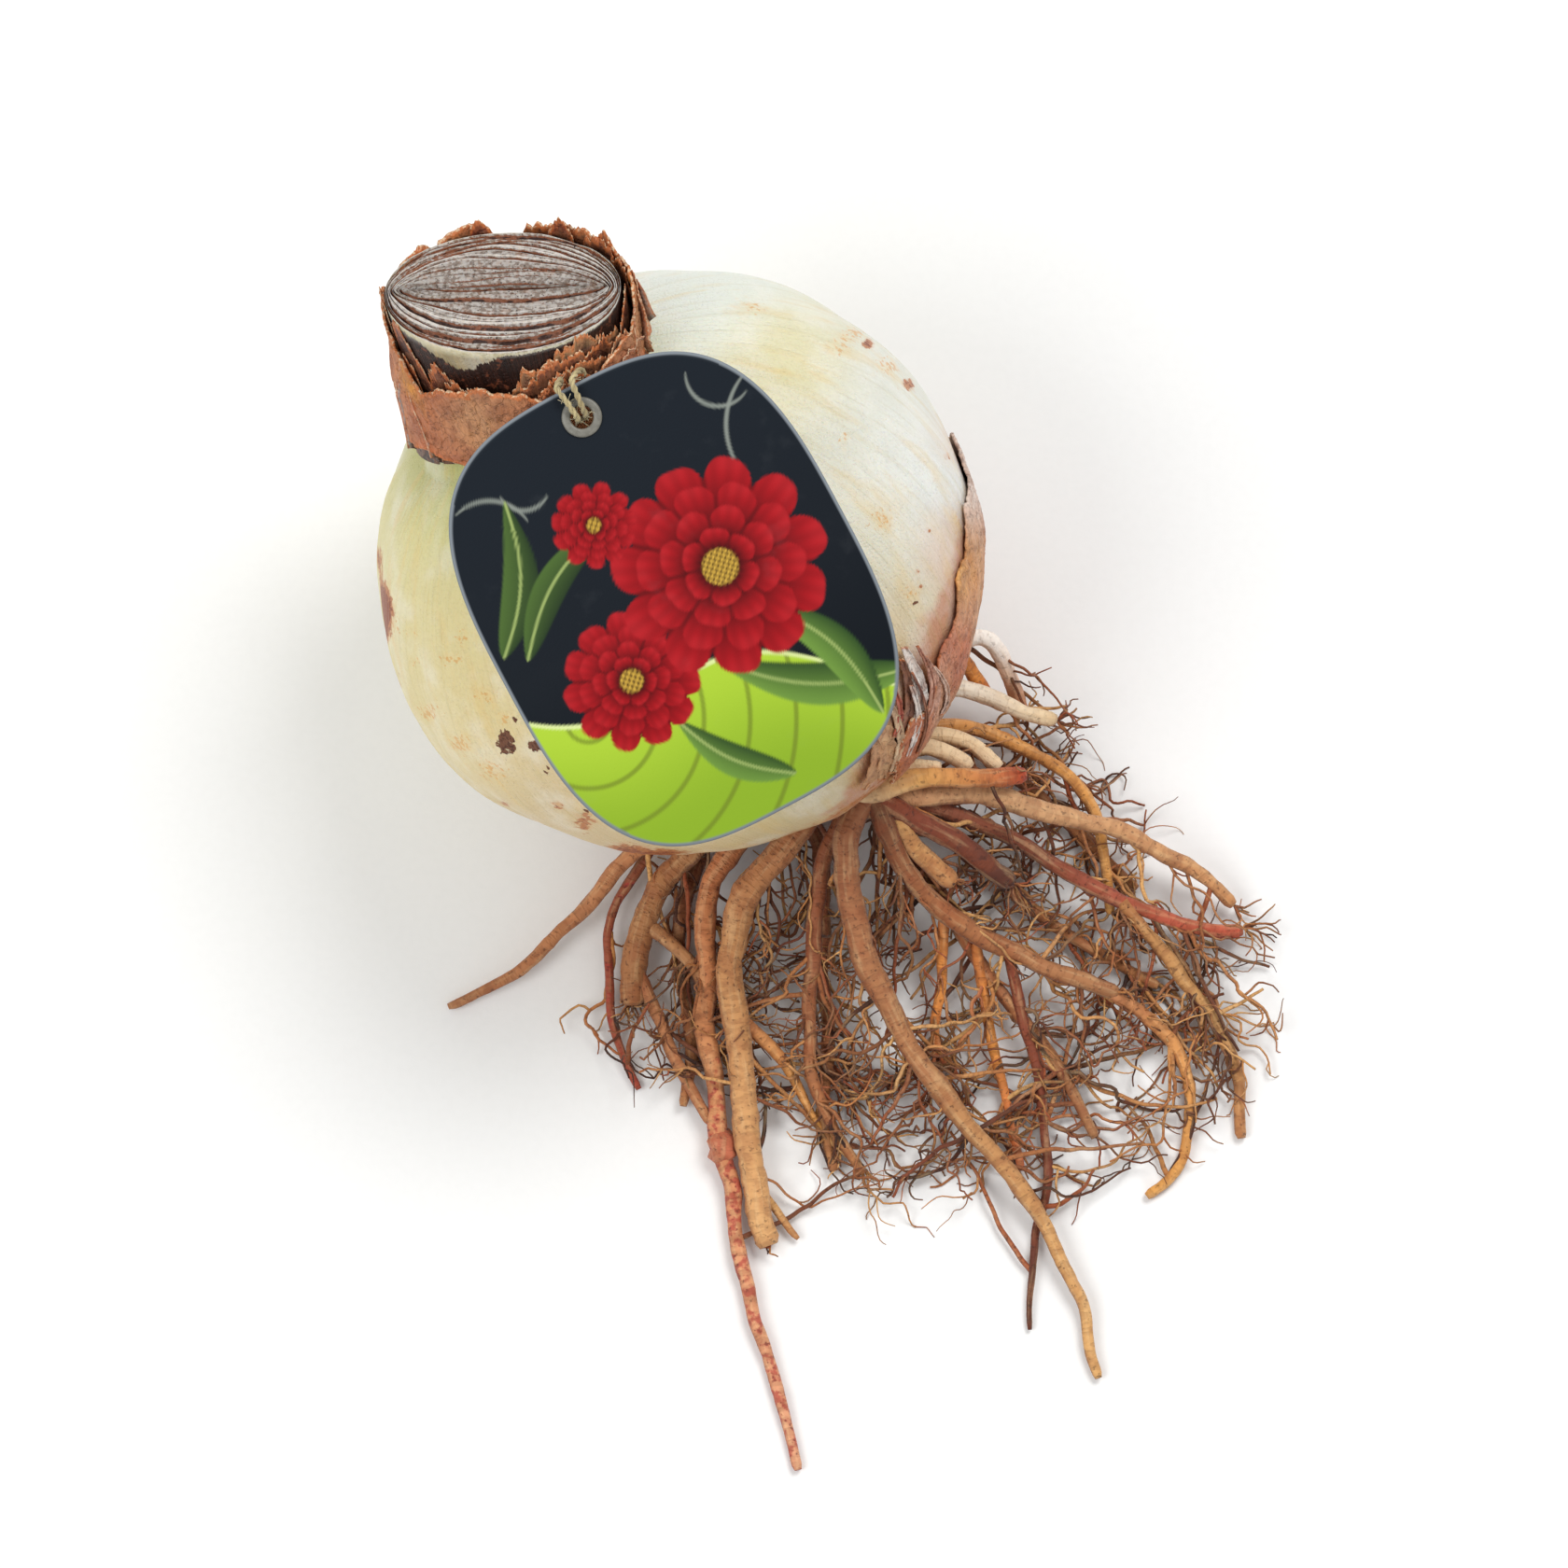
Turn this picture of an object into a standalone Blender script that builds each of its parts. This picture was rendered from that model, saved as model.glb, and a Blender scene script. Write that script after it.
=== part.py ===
"""Amaryllis bulb with a cut neck, bare roots and a hang tag on twine, laid down.

Metres, +Z up. The origin is the centre of the small flat spot that the bulb rests on.
The neck leans up and back to the left (-X, +Y). The roots lie along the surface to the
right and to the front (+X, -Y). The tag lies on top of the body, held by its twine.
"""

import math
import random

import bpy
import bmesh
from mathutils import Euler, Matrix, Vector

MM = 0.001

# Body: nearly a ball, leaning on its flat spot
BODY_RADIUS = 46.0 * MM
CENTRE_HEIGHT = 45.2 * MM
LEAN_HEADING = 135.3
LEAN_ELEVATION = 46.6
BOTTOM_HEIGHT = -40.0 * MM
RIB_COUNT = 14
RIB_RELIEF = 0.3 * MM
FRONT_FLATTENING = 2.0 * MM
FRONT_WAY = (-0.05, -0.978, -0.2)
FRONT_SPREAD = 0.16
SHOULDER_SWELL = 0.9 * MM
SHOULDER_WAY = (0.75, 0.6, 0.28)
SHOULDER_SPREAD = 0.3

# Neck: an oval stump, bent from the body's axis
NECK_HEADING = 110.0
NECK_ELEVATION = 58.3
NECK_LENGTH = 18.5 * MM
NECK_HALF_WIDTH = 18.0 * MM
NECK_HALF_DEPTH = 12.2 * MM
FOOT_WIDENING = Vector((1.0, 0.6)) * MM
FOOT_FLARE = 2.8 * MM
FOOT_RISE = 2.5 * MM
SHOULDER_POLAR = 36.0
LAYER_RELIEF = 0.7 * MM
FACE_DOME = 0.8 * MM

# Mesh density of the bulb
TURN_STEPS = 48
FACE_RINGS = 8
NECK_RINGS = 6
SHOULDER_RINGS = 3
BODY_RINGS = 20
BOTTOM_RINGS = 2

# Dry skins
SKIN_THICKNESS = 0.7 * MM
SKIN_GAP = 0.35 * MM
COLLAR_GAP = 1.85 * MM
COLLAR_ROWS = 5
FRONT_RIM = 0.68
BACK_RIM = 1.0
RIM_TEAR = 0.05
RIM_STRAIGHT = 0.985
RIM_SEED = 3
HEM_RISE = -0.06
HEM_TILT = 0.07
HEM_TEAR = 0.035
HEM_SEED = 8
SIDE_SKIN_POLAR = (101.0, 143.0)
SIDE_SKIN_TURN = (-52.0, 72.0)
SIDE_SKIN_STEPS = (18, 6)
SIDE_SKIN_TEAR = 5.0
SIDE_SKIN_ENDS = 0.35
SIDE_SKIN_SEED = 5

# Roots
PLATE_RADIUS = 19.0 * MM
PLATE_THICKNESS = 5.0 * MM
MATING_GAP = 0.3 * MM
ROOT_RING = 14.5 * MM
ROOT_INSET = 4.0 * MM
ROOT_LEAVE = Vector((2.5, 3.0)) * MM
ROOT_SPACING = 6.0 * MM
BODY_CLEARANCE = 1.6 * MM
FLOOR_GAP = 0.05 * MM
RELAX_PASSES = 3
ROOTLET_COUNT = 68
ROOTLET_RADIUS = 0.5 * MM
ROOTLET_SPACING = 4.5 * MM
ROOTLET_REACH = (9.0 * MM, 26.0 * MM)
ROOTLET_BENDS = 4
ROOTLET_SWING = 3.2 * MM
ROOTLET_SEED = 7

# Mats of rootlets: middle and spread in mm, and each mat's share of them
ROOTLET_MATS = (((22, -60), 16, 5), ((38, -80), 13, 4), ((71, -70), 17, 6), ((60, -38), 16, 4),
                ((0, -64), 9, 2), ((88, -60), 8, 1), ((56, -17), 6, 1))

# Tag
TAG_HALF_WIDTH = 28.8 * MM
TAG_HALF_LENGTH = 35.8 * MM
TAG_THICKNESS = 0.7 * MM
TAG_SQUARENESS = 3.1
TAG_TURN = 28.0
TAG_TILT = 12.0
TAG_SHIFT = Vector((0.0, -5.0 * MM))
TAG_SAG_START = -2.0 * MM
TAG_SAG_RADIUS = 70.0 * MM
TAG_TOP_SLOPE = 0.03
TAG_HOLE = Vector((0.6 * MM, 30.8 * MM))
TAG_HOLE_RADIUS = 2.35 * MM
TAG_STEPS = (10, 14)
EYELET_BORE = 1.75 * MM
EYELET_RIM = 3.1 * MM
EYELET_WALL = 0.3 * MM
EYELET_GAP = 0.12 * MM

# Twine
TWINE_RADIUS = 0.5 * MM
TWINE_RISE = 0.55
TWINE_LEFT_TURN = -62.0
TWINE_RIGHT_TURN = -50.0
TWINE_SPACING = 3.2 * MM

# Thick roots: place round the plate in degrees, radius at the plate and at the tip in mm, route in mm
THICK_ROOTS = {
    "far_left": (-10, 2.0, 0.7, [
        (-4, -36, 9), (-10, -38, 7), (-15, -46, 5), (-24, -55, 3), (-29, -58, 2), (-36, -60, 1)]),
    "thin_left": (-24, 1.1, 0.6, [
        (-5, -36, 6), (-11, -42, 4.5), (-11, -48, 4), (-11.5, -56, 3), (-10, -61, 2.5), (-10, -66, 2),
        (-8, -69, 1.5), (-6, -73, 1)]),
    "cut_stub": (2, 2.1, 2.0, [
        (-4, -41, 7.5), (-6, -46, 6), (-7, -52, 4.5), (-7, -60, 3)]),
    "front_long": (14, 2.0, 0.8, [
        (5.6, -39, 10), (5, -53, 7), (4, -63, 5), (4.6, -70, 4), (6, -77, 3), (7, -83, 2.8), (9, -90, 2.5),
        (10, -98, 2), (10, -103.5, 2), (11.5, -109.5, 2), (14, -115, 1.6), (16.5, -121.5, 1.3),
        (18, -127, 1.1), (18.8, -133, 1)]),
    "front_thick": (30, 2.3, 2.0, [
        (15.5, -38, 16), (11, -42, 14), (9, -47, 11), (7.3, -53.5, 9), (7.3, -60.5, 8), (9.5, -67, 7),
        (11.5, -74, 6), (12, -81, 5), (11, -88, 3.6), (11.3, -93, 3), (14.5, -98, 2.2)]),
    "right_long": (53, 2.4, 0.75, [
        (24, -36, 21), (25.2, -41, 19), (28, -49.5, 15), (31.4, -61, 11), (37.3, -70, 9), (43, -77, 8),
        (49, -84, 6), (55, -90, 4), (58.8, -96, 3), (60.6, -102.5, 2.4), (63.5, -108.7, 2),
        (65.5, -114, 1.6), (65.7, -119, 1.2)]),
    "dark_middle": (84, 1.7, 1.3, [
        (32.4, -39, 18), (37, -43.5, 15), (41, -47, 12), (45.6, -50, 10), (51, -52.3, 9), (55.7, -54.8, 8),
        (62, -57, 7), (68.5, -58.7, 6)]),
    "broken_tan": (72, 1.7, 1.5, [
        (31, -34, 20), (35.6, -37, 18), (40, -40, 16), (43, -42.7, 14)]),
    "red_brown": (104, 1.9, 1.6, [
        (34, -30, 21), (38, -33, 19.5), (42.6, -36.5, 17), (47.8, -40.4, 14), (52.3, -42.7, 12)]),
    "red_stub": (118, 1.6, 1.5, [
        (35, -26.5, 23), (38, -28.5, 23), (42, -29, 22), (48, -28, 20), (54.4, -26.3, 18)]),
    "upper_right": (126, 2.0, 1.0, [
        (40, -27, 18), (45.6, -29.5, 16), (50, -29.4, 15), (55.7, -31.4, 14), (62.8, -33, 12),
        (70.7, -33.7, 10), (75.2, -35, 8), (79.6, -39, 7), (84, -42, 5), (87, -44.3, 3)]),
    "pink_right": (110, 1.4, 1.1, [
        (38.6, -29.5, 15), (45.6, -31.8, 13), (52.3, -35.4, 11), (58.5, -38.5, 9.5), (64.2, -42.5, 8.5),
        (69.4, -44.5, 8), (74.3, -47.3, 6), (78.8, -48.8, 5), (83, -48.6, 4), (88.4, -47.8, 3)]),
    "white_arch": (174, 1.5, 1.3, [
        (40, -7, 16), (44.4, -6, 18), (47.8, -4.6, 20), (50.5, -6.6, 18), (51.8, -9.2, 12), (53.1, -13.6, 5)]),
    "white_side": (164, 1.6, 1.2, [
        (39, -10, 16), (42.6, -11, 16), (46.5, -13.2, 15), (50.5, -14.7, 14), (54, -16, 12), (59.3, -16.3, 10)]),
    "finger_low": (138, 1.4, 1.2, [(36.5, -22.5, 22), (40.5, -25.5, 20.5)]),
    "finger_mid": (148, 1.4, 1.2, [(38.5, -19.5, 20), (42, -22.5, 19), (46, -25.8, 18)]),
    "finger_high": (156, 1.4, 1.2, [(40, -16.5, 17.5), (43.5, -20, 17.5), (50.5, -25, 16)]),
    "golden_right": (158, 1.3, 0.8, [
        (41, -14.5, 13), (48, -18, 12), (55.6, -20.5, 10), (62, -23, 8), (65, -27, 7), (66.8, -30.6, 6),
        (67.7, -39, 5), (68, -46, 4)]),
    "under_left": (-48, 1.7, 0.8, [
        (3, -36, 4), (-1, -50, 2.6), (3, -64, 2), (1, -76, 1.6)]),
    "under_front": (-88, 1.6, 0.8, [
        (23, -34, 4), (21, -48, 3), (25, -62, 2.4), (21, -74, 2), (25, -86, 1.4)]),
    "under_right": (-128, 1.5, 0.8, [
        (36, -27, 4), (46, -37, 3.4), (56, -46, 2.6), (66, -52, 2), (75, -57, 1.4)]),
    "under_side": (-156, 1.4, 0.8, [
        (39, -15, 4), (51, -22, 3), (61, -32, 2), (72, -41, 1.5)]),
    "inner_front": (42, 1.5, 0.8, [
        (21, -39, 15), (23, -52, 9), (19, -66, 6), (23, -78, 3.5), (29, -87, 2)]),
    "inner_right": (98, 1.5, 0.8, [
        (35, -35, 15), (43, -47, 8), (51, -60, 5), (61, -70, 3), (65, -81, 1.6)]),
}

# Branches spring from another root: radius at its start and tip in mm, route in mm from inside that root
BRANCHES = {
    "left_bridge": (1.1, 0.9, [(-6.3, -47, 5.6), (-1, -48.5, 6.4), (2.4, -53, 6.2), (4.2, -58, 5.8)]),
    "left_twig": (1.2, 0.8, [(-6.8, -54, 4), (-3, -61, 3), (-0.3, -68, 3), (3, -75, 2.5), (5.9, -78.5, 2.8)]),
    "middle_fork": (1.1, 0.5, [
        (8, -61.5, 7.4), (12.5, -64, 5), (16.4, -68.4, 4), (20, -73.6, 3), (22.8, -78.4, 2), (23.5, -84, 1.2)]),
    "middle_twig": (0.8, 0.5, [(11.2, -87, 3.9), (14, -91, 2.4), (16.5, -94, 1.8), (19, -96.5, 1.2)]),
    "arch_leg": (1.2, 1.0, [(43.4, -6.6, 17.6), (45.8, -8.6, 15), (47.2, -10.5, 12), (48.3, -12.5, 8)]),
    "outer_hook": (1.1, 1.0, [
        (69.4, -44.6, 7.8), (74.3, -50.5, 5), (79.6, -57, 3.5), (84, -62.4, 2.5), (86, -66, 2),
        (87.6, -70, 1.6), (88.5, -75.5, 1.4), (88.3, -80.4, 1.2)]),
    "outer_curl": (1.1, 0.8, [
        (67, -58.4, 6.2), (73, -60.5, 4.6), (78.8, -64.3, 3), (80.8, -71, 2), (81, -77.5, 1.6),
        (80.2, -84.3, 1.3), (77.9, -88.7, 1.2), (73.2, -90.2, 1)]),
    "orange_drop": (0.9, 0.7, [
        (46.4, -50.4, 9), (47, -55, 5), (48.2, -61, 3), (49.7, -68.7, 2.4), (51, -75.6, 2), (52.6, -82.4, 1.6),
        (53.3, -86, 1.2)]),
    "dark_drop": (0.95, 0.5, [
        (51.5, -52.5, 8.5), (52, -58, 5), (55, -64.3, 3.5), (57, -71.6, 3), (58.6, -77.5, 2.5),
        (58.3, -86.3, 2), (57.2, -93, 1.6), (56, -98, 1.4), (54.4, -102.4, 1.2), (55.2, -106.8, 1),
        (54.9, -110.5, 0.8)]),
    "orange_wave": (0.9, 0.6, [
        (41.6, -47.4, 11.6), (42, -51.6, 6), (41, -57, 4), (39.7, -62, 3.5), (40.2, -65.3, 3),
        (39.7, -68, 2.5), (43.5, -71.2, 2)]),
}
KNOB_PLACE = Vector((7.0, -82.5, 2.9)) * MM
KNOB_RADIUS = 1.9 * MM


def direction(heading, elevation):
    """Unit vector with this heading from +X and this elevation, both in degrees."""
    turn, rise = math.radians(heading), math.radians(elevation)
    return Vector((math.cos(rise) * math.cos(turn), math.cos(rise) * math.sin(turn), math.sin(rise)))


CENTRE = Vector((0.0, 0.0, CENTRE_HEIGHT))
AXIS = direction(LEAN_HEADING, LEAN_ELEVATION)
NECK_WORLD = direction(NECK_HEADING, NECK_ELEVATION)
WIDE_WORLD = (Vector((1, 0, 0)) - NECK_WORLD * NECK_WORLD.x).normalized()
SIDE = (WIDE_WORLD - AXIS * WIDE_WORLD.dot(AXIS)).normalized()
LEAN = Matrix((SIDE, AXIS.cross(SIDE), AXIS)).transposed()

# The neck in the bulb's own frame, whose Z is the body's axis
NECK = LEAN.transposed() @ NECK_WORLD
WIDE = LEAN.transposed() @ WIDE_WORLD
DEEP = NECK.cross(WIDE)
FACE_CENTRE = Vector((0, 0, BODY_RADIUS)) + NECK * NECK_LENGTH
FRONT_SIDE = LEAN.transposed() @ Vector(FRONT_WAY).normalized()
SHOULDER_SIDE = LEAN.transposed() @ Vector(SHOULDER_WAY).normalized()


def body_point(polar, turn):
    """Point of the body's skin, at a polar angle from the axis and a turn round it, in radians."""
    way = Vector((math.sin(polar) * math.cos(turn), math.sin(polar) * math.sin(turn), math.cos(polar)))
    fade = math.sin(polar) ** 2
    ribs = RIB_RELIEF * math.cos(RIB_COUNT * turn + 1.3 * math.sin(2 * polar)) * fade
    flat = FRONT_FLATTENING * math.exp(-((1 - way.dot(FRONT_SIDE)) / FRONT_SPREAD) ** 2)
    swell = SHOULDER_SWELL * math.exp(-((1 - way.dot(SHOULDER_SIDE)) / SHOULDER_SPREAD) ** 2)
    return way * (BODY_RADIUS + ribs - flat + swell)


def oval_radius(half_width, half_depth, turn):
    """Radius of an oval at this turn."""
    return half_width * half_depth / math.hypot(half_depth * math.cos(turn), half_width * math.sin(turn))


def foot_polar(flare, turn):
    """Polar angle at which the neck's oval, widened by a flare, meets the body."""
    half_width = NECK_HALF_WIDTH + FOOT_WIDENING.x + flare
    half_depth = NECK_HALF_DEPTH + FOOT_WIDENING.y + flare
    return math.asin(oval_radius(half_width, half_depth, turn) / BODY_RADIUS)


def face_point(turn, fraction):
    """Point of the cut face: nested, ever flatter leaf bases, in ridges and grooves."""
    ring = round(fraction * FACE_RINGS)
    wide = NECK_HALF_WIDTH * fraction ** 0.6
    deep = NECK_HALF_DEPTH * fraction
    groove = LAYER_RELIEF if ring % 2 else 0.0
    dome = FACE_DOME * (1 - fraction ** 2)
    return FACE_CENTRE + WIDE * wide * math.cos(turn) + DEEP * deep * math.sin(turn) + NECK * (dome - groove)


def skin_point(turn, rise):
    """Point of the shoulder (rise -1 to 0) or of the neck's wall (rise 0 to 1)."""
    foot = foot_polar(FOOT_FLARE, turn)
    if rise <= 0:
        return body_point(foot - rise * (math.radians(SHOULDER_POLAR) - foot), turn)
    low = body_point(foot, turn)
    bend = body_point(foot_polar(0.0, turn), turn) + NECK * FOOT_RISE
    high = face_point(turn, 1.0)
    back = 1 - rise
    return low * back * back + bend * 2 * rise * back + high * rise * rise


def raised(point_at, turn, climb, height):
    """Point this high above a skin that is given by turn and climb."""
    step = 0.01
    along = point_at(turn + step, climb) - point_at(turn - step, climb)
    up = point_at(turn, climb + step) - point_at(turn, climb - step)
    return point_at(turn, climb) + along.cross(up).normalized() * height


def new_collection(name):
    """Collection of this name, linked to the scene."""
    group = bpy.data.collections.new(name)
    bpy.context.scene.collection.children.link(group)
    return group


def new_material(name, colour, roughness, metallic=0.0):
    """Principled material in one plain colour."""
    material = bpy.data.materials.new(name)
    material.use_nodes = True
    shader = material.node_tree.nodes["Principled BSDF"]
    shader.inputs["Base Color"].default_value = (*colour, 1.0)
    shader.inputs["Roughness"].default_value = roughness
    shader.inputs["Metallic"].default_value = metallic
    return material


def new_object(name, bm, group, material=None, smooth=40.0):
    """Object made from a bmesh, shaded smooth up to this angle."""
    mesh = bpy.data.meshes.new(name)
    bm.to_mesh(mesh)
    bm.free()
    mesh.shade_smooth()
    mesh.set_sharp_from_angle(angle=math.radians(smooth))
    obj = bpy.data.objects.new(name, mesh)
    group.objects.link(obj)
    if material:
        mesh.materials.append(material)
    return obj


def apply_modifiers(obj):
    """Keep the object's evaluated mesh and drop its modifiers."""
    graph = bpy.context.evaluated_depsgraph_get()
    mesh = bpy.data.meshes.new_from_object(obj.evaluated_get(graph))
    obj.modifiers.clear()
    obj.data = mesh


def make_bulb(group, material, lean):
    """Body and neck core, from a ball whose rings are set by the skin's formulas."""
    bm = bmesh.new()
    rings = FACE_RINGS + NECK_RINGS + SHOULDER_RINGS + BODY_RINGS + BOTTOM_RINGS
    bmesh.ops.create_uvsphere(bm, u_segments=TURN_STEPS, v_segments=rings, radius=1.0)
    low_polar = math.acos(BOTTOM_HEIGHT / BODY_RADIUS)
    for vert in bm.verts:
        ring = round(math.acos(max(-1.0, min(1.0, vert.co.z))) / math.pi * rings)
        turn = math.atan2(vert.co.y, vert.co.x)
        if ring <= FACE_RINGS:
            vert.co = face_point(turn, ring / FACE_RINGS)
            continue
        ring -= FACE_RINGS
        if ring <= NECK_RINGS:
            vert.co = skin_point(turn, 1 - ring / NECK_RINGS)
            continue
        ring -= NECK_RINGS
        if ring <= SHOULDER_RINGS:
            vert.co = skin_point(turn, -ring / SHOULDER_RINGS)
            continue
        ring -= SHOULDER_RINGS
        if ring <= BODY_RINGS:
            polar = math.radians(SHOULDER_POLAR)
            polar += (low_polar - polar) * ring / BODY_RINGS
            vert.co = body_point(polar, turn)
            vert.co.z = max(vert.co.z, BOTTOM_HEIGHT)
            continue
        inward = 1 - (ring - BODY_RINGS) / BOTTOM_RINGS
        vert.co = body_point(low_polar, turn) * inward
        vert.co.z = BOTTOM_HEIGHT
    down = lean.to_3x3().transposed() @ Vector((0, 0, -1))
    spot = lean.inverted() @ Vector((0, 0, 0))
    bmesh.ops.recalc_face_normals(bm, faces=bm.faces)
    cut = bmesh.ops.bisect_plane(bm, geom=bm.verts[:] + bm.edges[:] + bm.faces[:], dist=1e-6,
                                 plane_co=spot, plane_no=down, clear_outer=True)
    rim = [item for item in cut["geom_cut"] if isinstance(item, bmesh.types.BMEdge)]
    bmesh.ops.edgeloop_fill(bm, edges=rim)
    bmesh.ops.recalc_face_normals(bm, faces=bm.faces)
    return new_object("bulb", bm, group, material)


def wrapped_sheet(steps, rows, place):
    """Open sheet wrapped round the neck: place(turn, share of the height) gives its points."""
    bm = bmesh.new()
    bmesh.ops.create_grid(bm, x_segments=steps, y_segments=rows, size=1.0)
    for vert in bm.verts:
        turn = math.pi * (vert.co.x + 1)
        vert.co = place(turn % (2 * math.pi), (vert.co.y + 1) / 2)
    bmesh.ops.remove_doubles(bm, verts=bm.verts, dist=0.01 * MM)
    bmesh.ops.recalc_face_normals(bm, faces=bm.faces)
    return bm


def add_thickness(obj, thickness):
    """Wall of this thickness, half of it on each side of the sheet."""
    solid = obj.modifiers.new("wall", "SOLIDIFY")
    solid.thickness = thickness
    solid.offset = 0.0
    solid.use_even_offset = True


def tear(turn, seed, strength):
    """Ragged wave along a torn edge, the same at every run."""
    draw = random.Random(seed * 1000 + round(math.degrees(turn) * 10))
    waves = math.sin(5 * turn + seed) + 0.6 * math.sin(11 * turn + 2 * seed)
    return strength * (0.5 * waves + draw.uniform(-1.0, 1.0))


def rim_rise(turn):
    """Height of the dry collar's torn rim: low in front, level with the cut elsewhere."""
    front = max(0.0, math.sin(-turn)) ** 1.5
    return BACK_RIM + (FRONT_RIM - BACK_RIM) * front + tear(turn, RIM_SEED, RIM_TEAR)


def collar_gap(rise):
    """Room between the neck's wall and the dry collar, which opens above its hem."""
    share = max(0.0, min(1.0, rise / 0.4))
    return SKIN_GAP + (COLLAR_GAP - SKIN_GAP) * share * share * (3 - 2 * share)


def make_neck_tunic(group, material):
    """Dry papery collar round the neck."""
    def place(turn, share):
        hem = HEM_RISE - HEM_TILT * math.cos(turn) + tear(turn, HEM_SEED, HEM_TEAR)
        rise = hem + (rim_rise(turn) - hem) * share
        wall = raised(skin_point, turn, min(rise, RIM_STRAIGHT), collar_gap(rise) + SKIN_THICKNESS / 2)
        return wall + NECK * max(0.0, rise - RIM_STRAIGHT) * NECK_LENGTH

    obj = new_object("neck_tunic", wrapped_sheet(TURN_STEPS, COLLAR_ROWS, place), group, material)
    add_thickness(obj, SKIN_THICKNESS)
    return obj


def make_side_tunic(group, material):
    """Dry skin that still clings to the side of the body."""
    bm = bmesh.new()
    bmesh.ops.create_grid(bm, x_segments=SIDE_SKIN_STEPS[0], y_segments=SIDE_SKIN_STEPS[1], size=1.0)
    for vert in bm.verts:
        across, climb = (vert.co.x + 1) / 2, (vert.co.y + 1) / 2
        turn = SIDE_SKIN_TURN[0] + (SIDE_SKIN_TURN[1] - SIDE_SKIN_TURN[0]) * across
        bulge = math.sin(math.pi * across) ** 0.5
        height = SIDE_SKIN_ENDS + (1 - SIDE_SKIN_ENDS) * bulge
        top = SIDE_SKIN_POLAR[1] - (SIDE_SKIN_POLAR[1] - SIDE_SKIN_POLAR[0]) * height
        top += tear(math.radians(turn), SIDE_SKIN_SEED, SIDE_SKIN_TEAR)
        polar = SIDE_SKIN_POLAR[1] + (top - SIDE_SKIN_POLAR[1]) * climb
        vert.co = raised(lambda t, c: body_point(-c, t), math.radians(turn), -math.radians(polar),
                         SKIN_GAP + SKIN_THICKNESS / 2)
    bmesh.ops.recalc_face_normals(bm, faces=bm.faces)
    obj = new_object("side_tunic", bm, group, material)
    add_thickness(obj, SKIN_THICKNESS)
    return obj


def curve_point(before, start, end, after, t):
    """Point of the Catmull-Rom curve between start and end."""
    return 0.5 * (2 * start + (end - before) * t + (2 * before - 5 * start + 4 * end - after) * t * t
                  + (3 * start - before - 3 * end + after) * t ** 3)


def smooth_route(points, spacing):
    """Points at about this spacing along a smooth curve through the given points."""
    ends = [points[0] * 2 - points[1]] + points + [points[-1] * 2 - points[-2]]
    route = []
    for before, start, end, after in zip(ends, ends[1:], ends[2:], ends[3:]):
        count = max(1, round((end - start).length / spacing))
        route += [curve_point(before, start, end, after, index / count) for index in range(count)]
    return route + [points[-1]]


def tube(name, points, radii, group, sides_level, cyclic=False):
    """Mesh tube along the points, from a curve with a bevel."""
    curve = bpy.data.curves.new(name, "CURVE")
    curve.dimensions = "3D"
    curve.bevel_depth = 1.0
    curve.bevel_resolution = sides_level
    curve.use_fill_caps = not cyclic
    spline = curve.splines.new("POLY")
    spline.points.add(len(points) - 1)
    for node, point, radius in zip(spline.points, points, radii):
        node.co = (*point, 1.0)
        node.radius = radius
    spline.use_cyclic_u = cyclic
    source = bpy.data.objects.new(name + "_curve", curve)
    group.objects.link(source)
    graph = bpy.context.evaluated_depsgraph_get()
    mesh = bpy.data.meshes.new_from_object(source.evaluated_get(graph))
    bm = bmesh.new()
    bm.from_mesh(mesh)
    bmesh.ops.remove_doubles(bm, verts=bm.verts, dist=0.01 * MM)
    bmesh.ops.triangulate(bm, faces=[face for face in bm.faces if len(face.verts) > 4])
    bmesh.ops.recalc_face_normals(bm, faces=bm.faces)
    bpy.data.objects.remove(source)
    bpy.data.meshes.remove(mesh)
    return new_object(name, bm, group)


def clear_of_neighbours(point, radius):
    """The point moved, where it must be, out of the body and above the surface."""
    away = point - CENTRE
    limit = BODY_RADIUS + BODY_CLEARANCE + radius
    if away.length < limit and away.dot(AXIS) > BOTTOM_HEIGHT - radius - MATING_GAP:
        point = CENTRE + away.normalized() * limit
    return Vector((point.x, point.y, max(point.z, radius + FLOOR_GAP)))


def root_route(plate_turn, route):
    """A root's points: out of the plate at this turn, then along its own route."""
    turn = math.radians(plate_turn)
    level = AXIS.cross(Vector((0, 0, 1))).normalized()
    steep = level.cross(AXIS).normalized()
    outward = level * math.cos(turn) + steep * math.sin(turn)
    foot = CENTRE + AXIS * (BOTTOM_HEIGHT - MATING_GAP - PLATE_THICKNESS * 0.5)
    inside = foot + outward * (ROOT_RING - ROOT_INSET)
    edge = foot + outward * (ROOT_RING + ROOT_LEAVE.x) - AXIS * ROOT_LEAVE.y
    return [inside, edge] + [Vector(point) * MM for point in route]


def add_root(name, points, radius, tip_radius, spacing, sides_level, group):
    """One root or rootlet, tapered from its start to its tip."""
    line = smooth_route(points, spacing)
    last = len(line) - 1
    radii = [radius + (tip_radius - radius) * (index / last) ** 1.2 for index in range(last + 1)]
    for _ in range(RELAX_PASSES):
        line = line[:2] + [clear_of_neighbours(point, size) for point, size in zip(line[2:], radii[2:])]
        middles = [(before + here * 2 + after) / 4 for before, here, after in zip(line, line[1:], line[2:])]
        line = line[:1] + middles + line[-1:]
    line = line[:2] + [clear_of_neighbours(point, size) for point, size in zip(line[2:], radii[2:])]
    tube(name, line, radii, group, sides_level)
    return line


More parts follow.
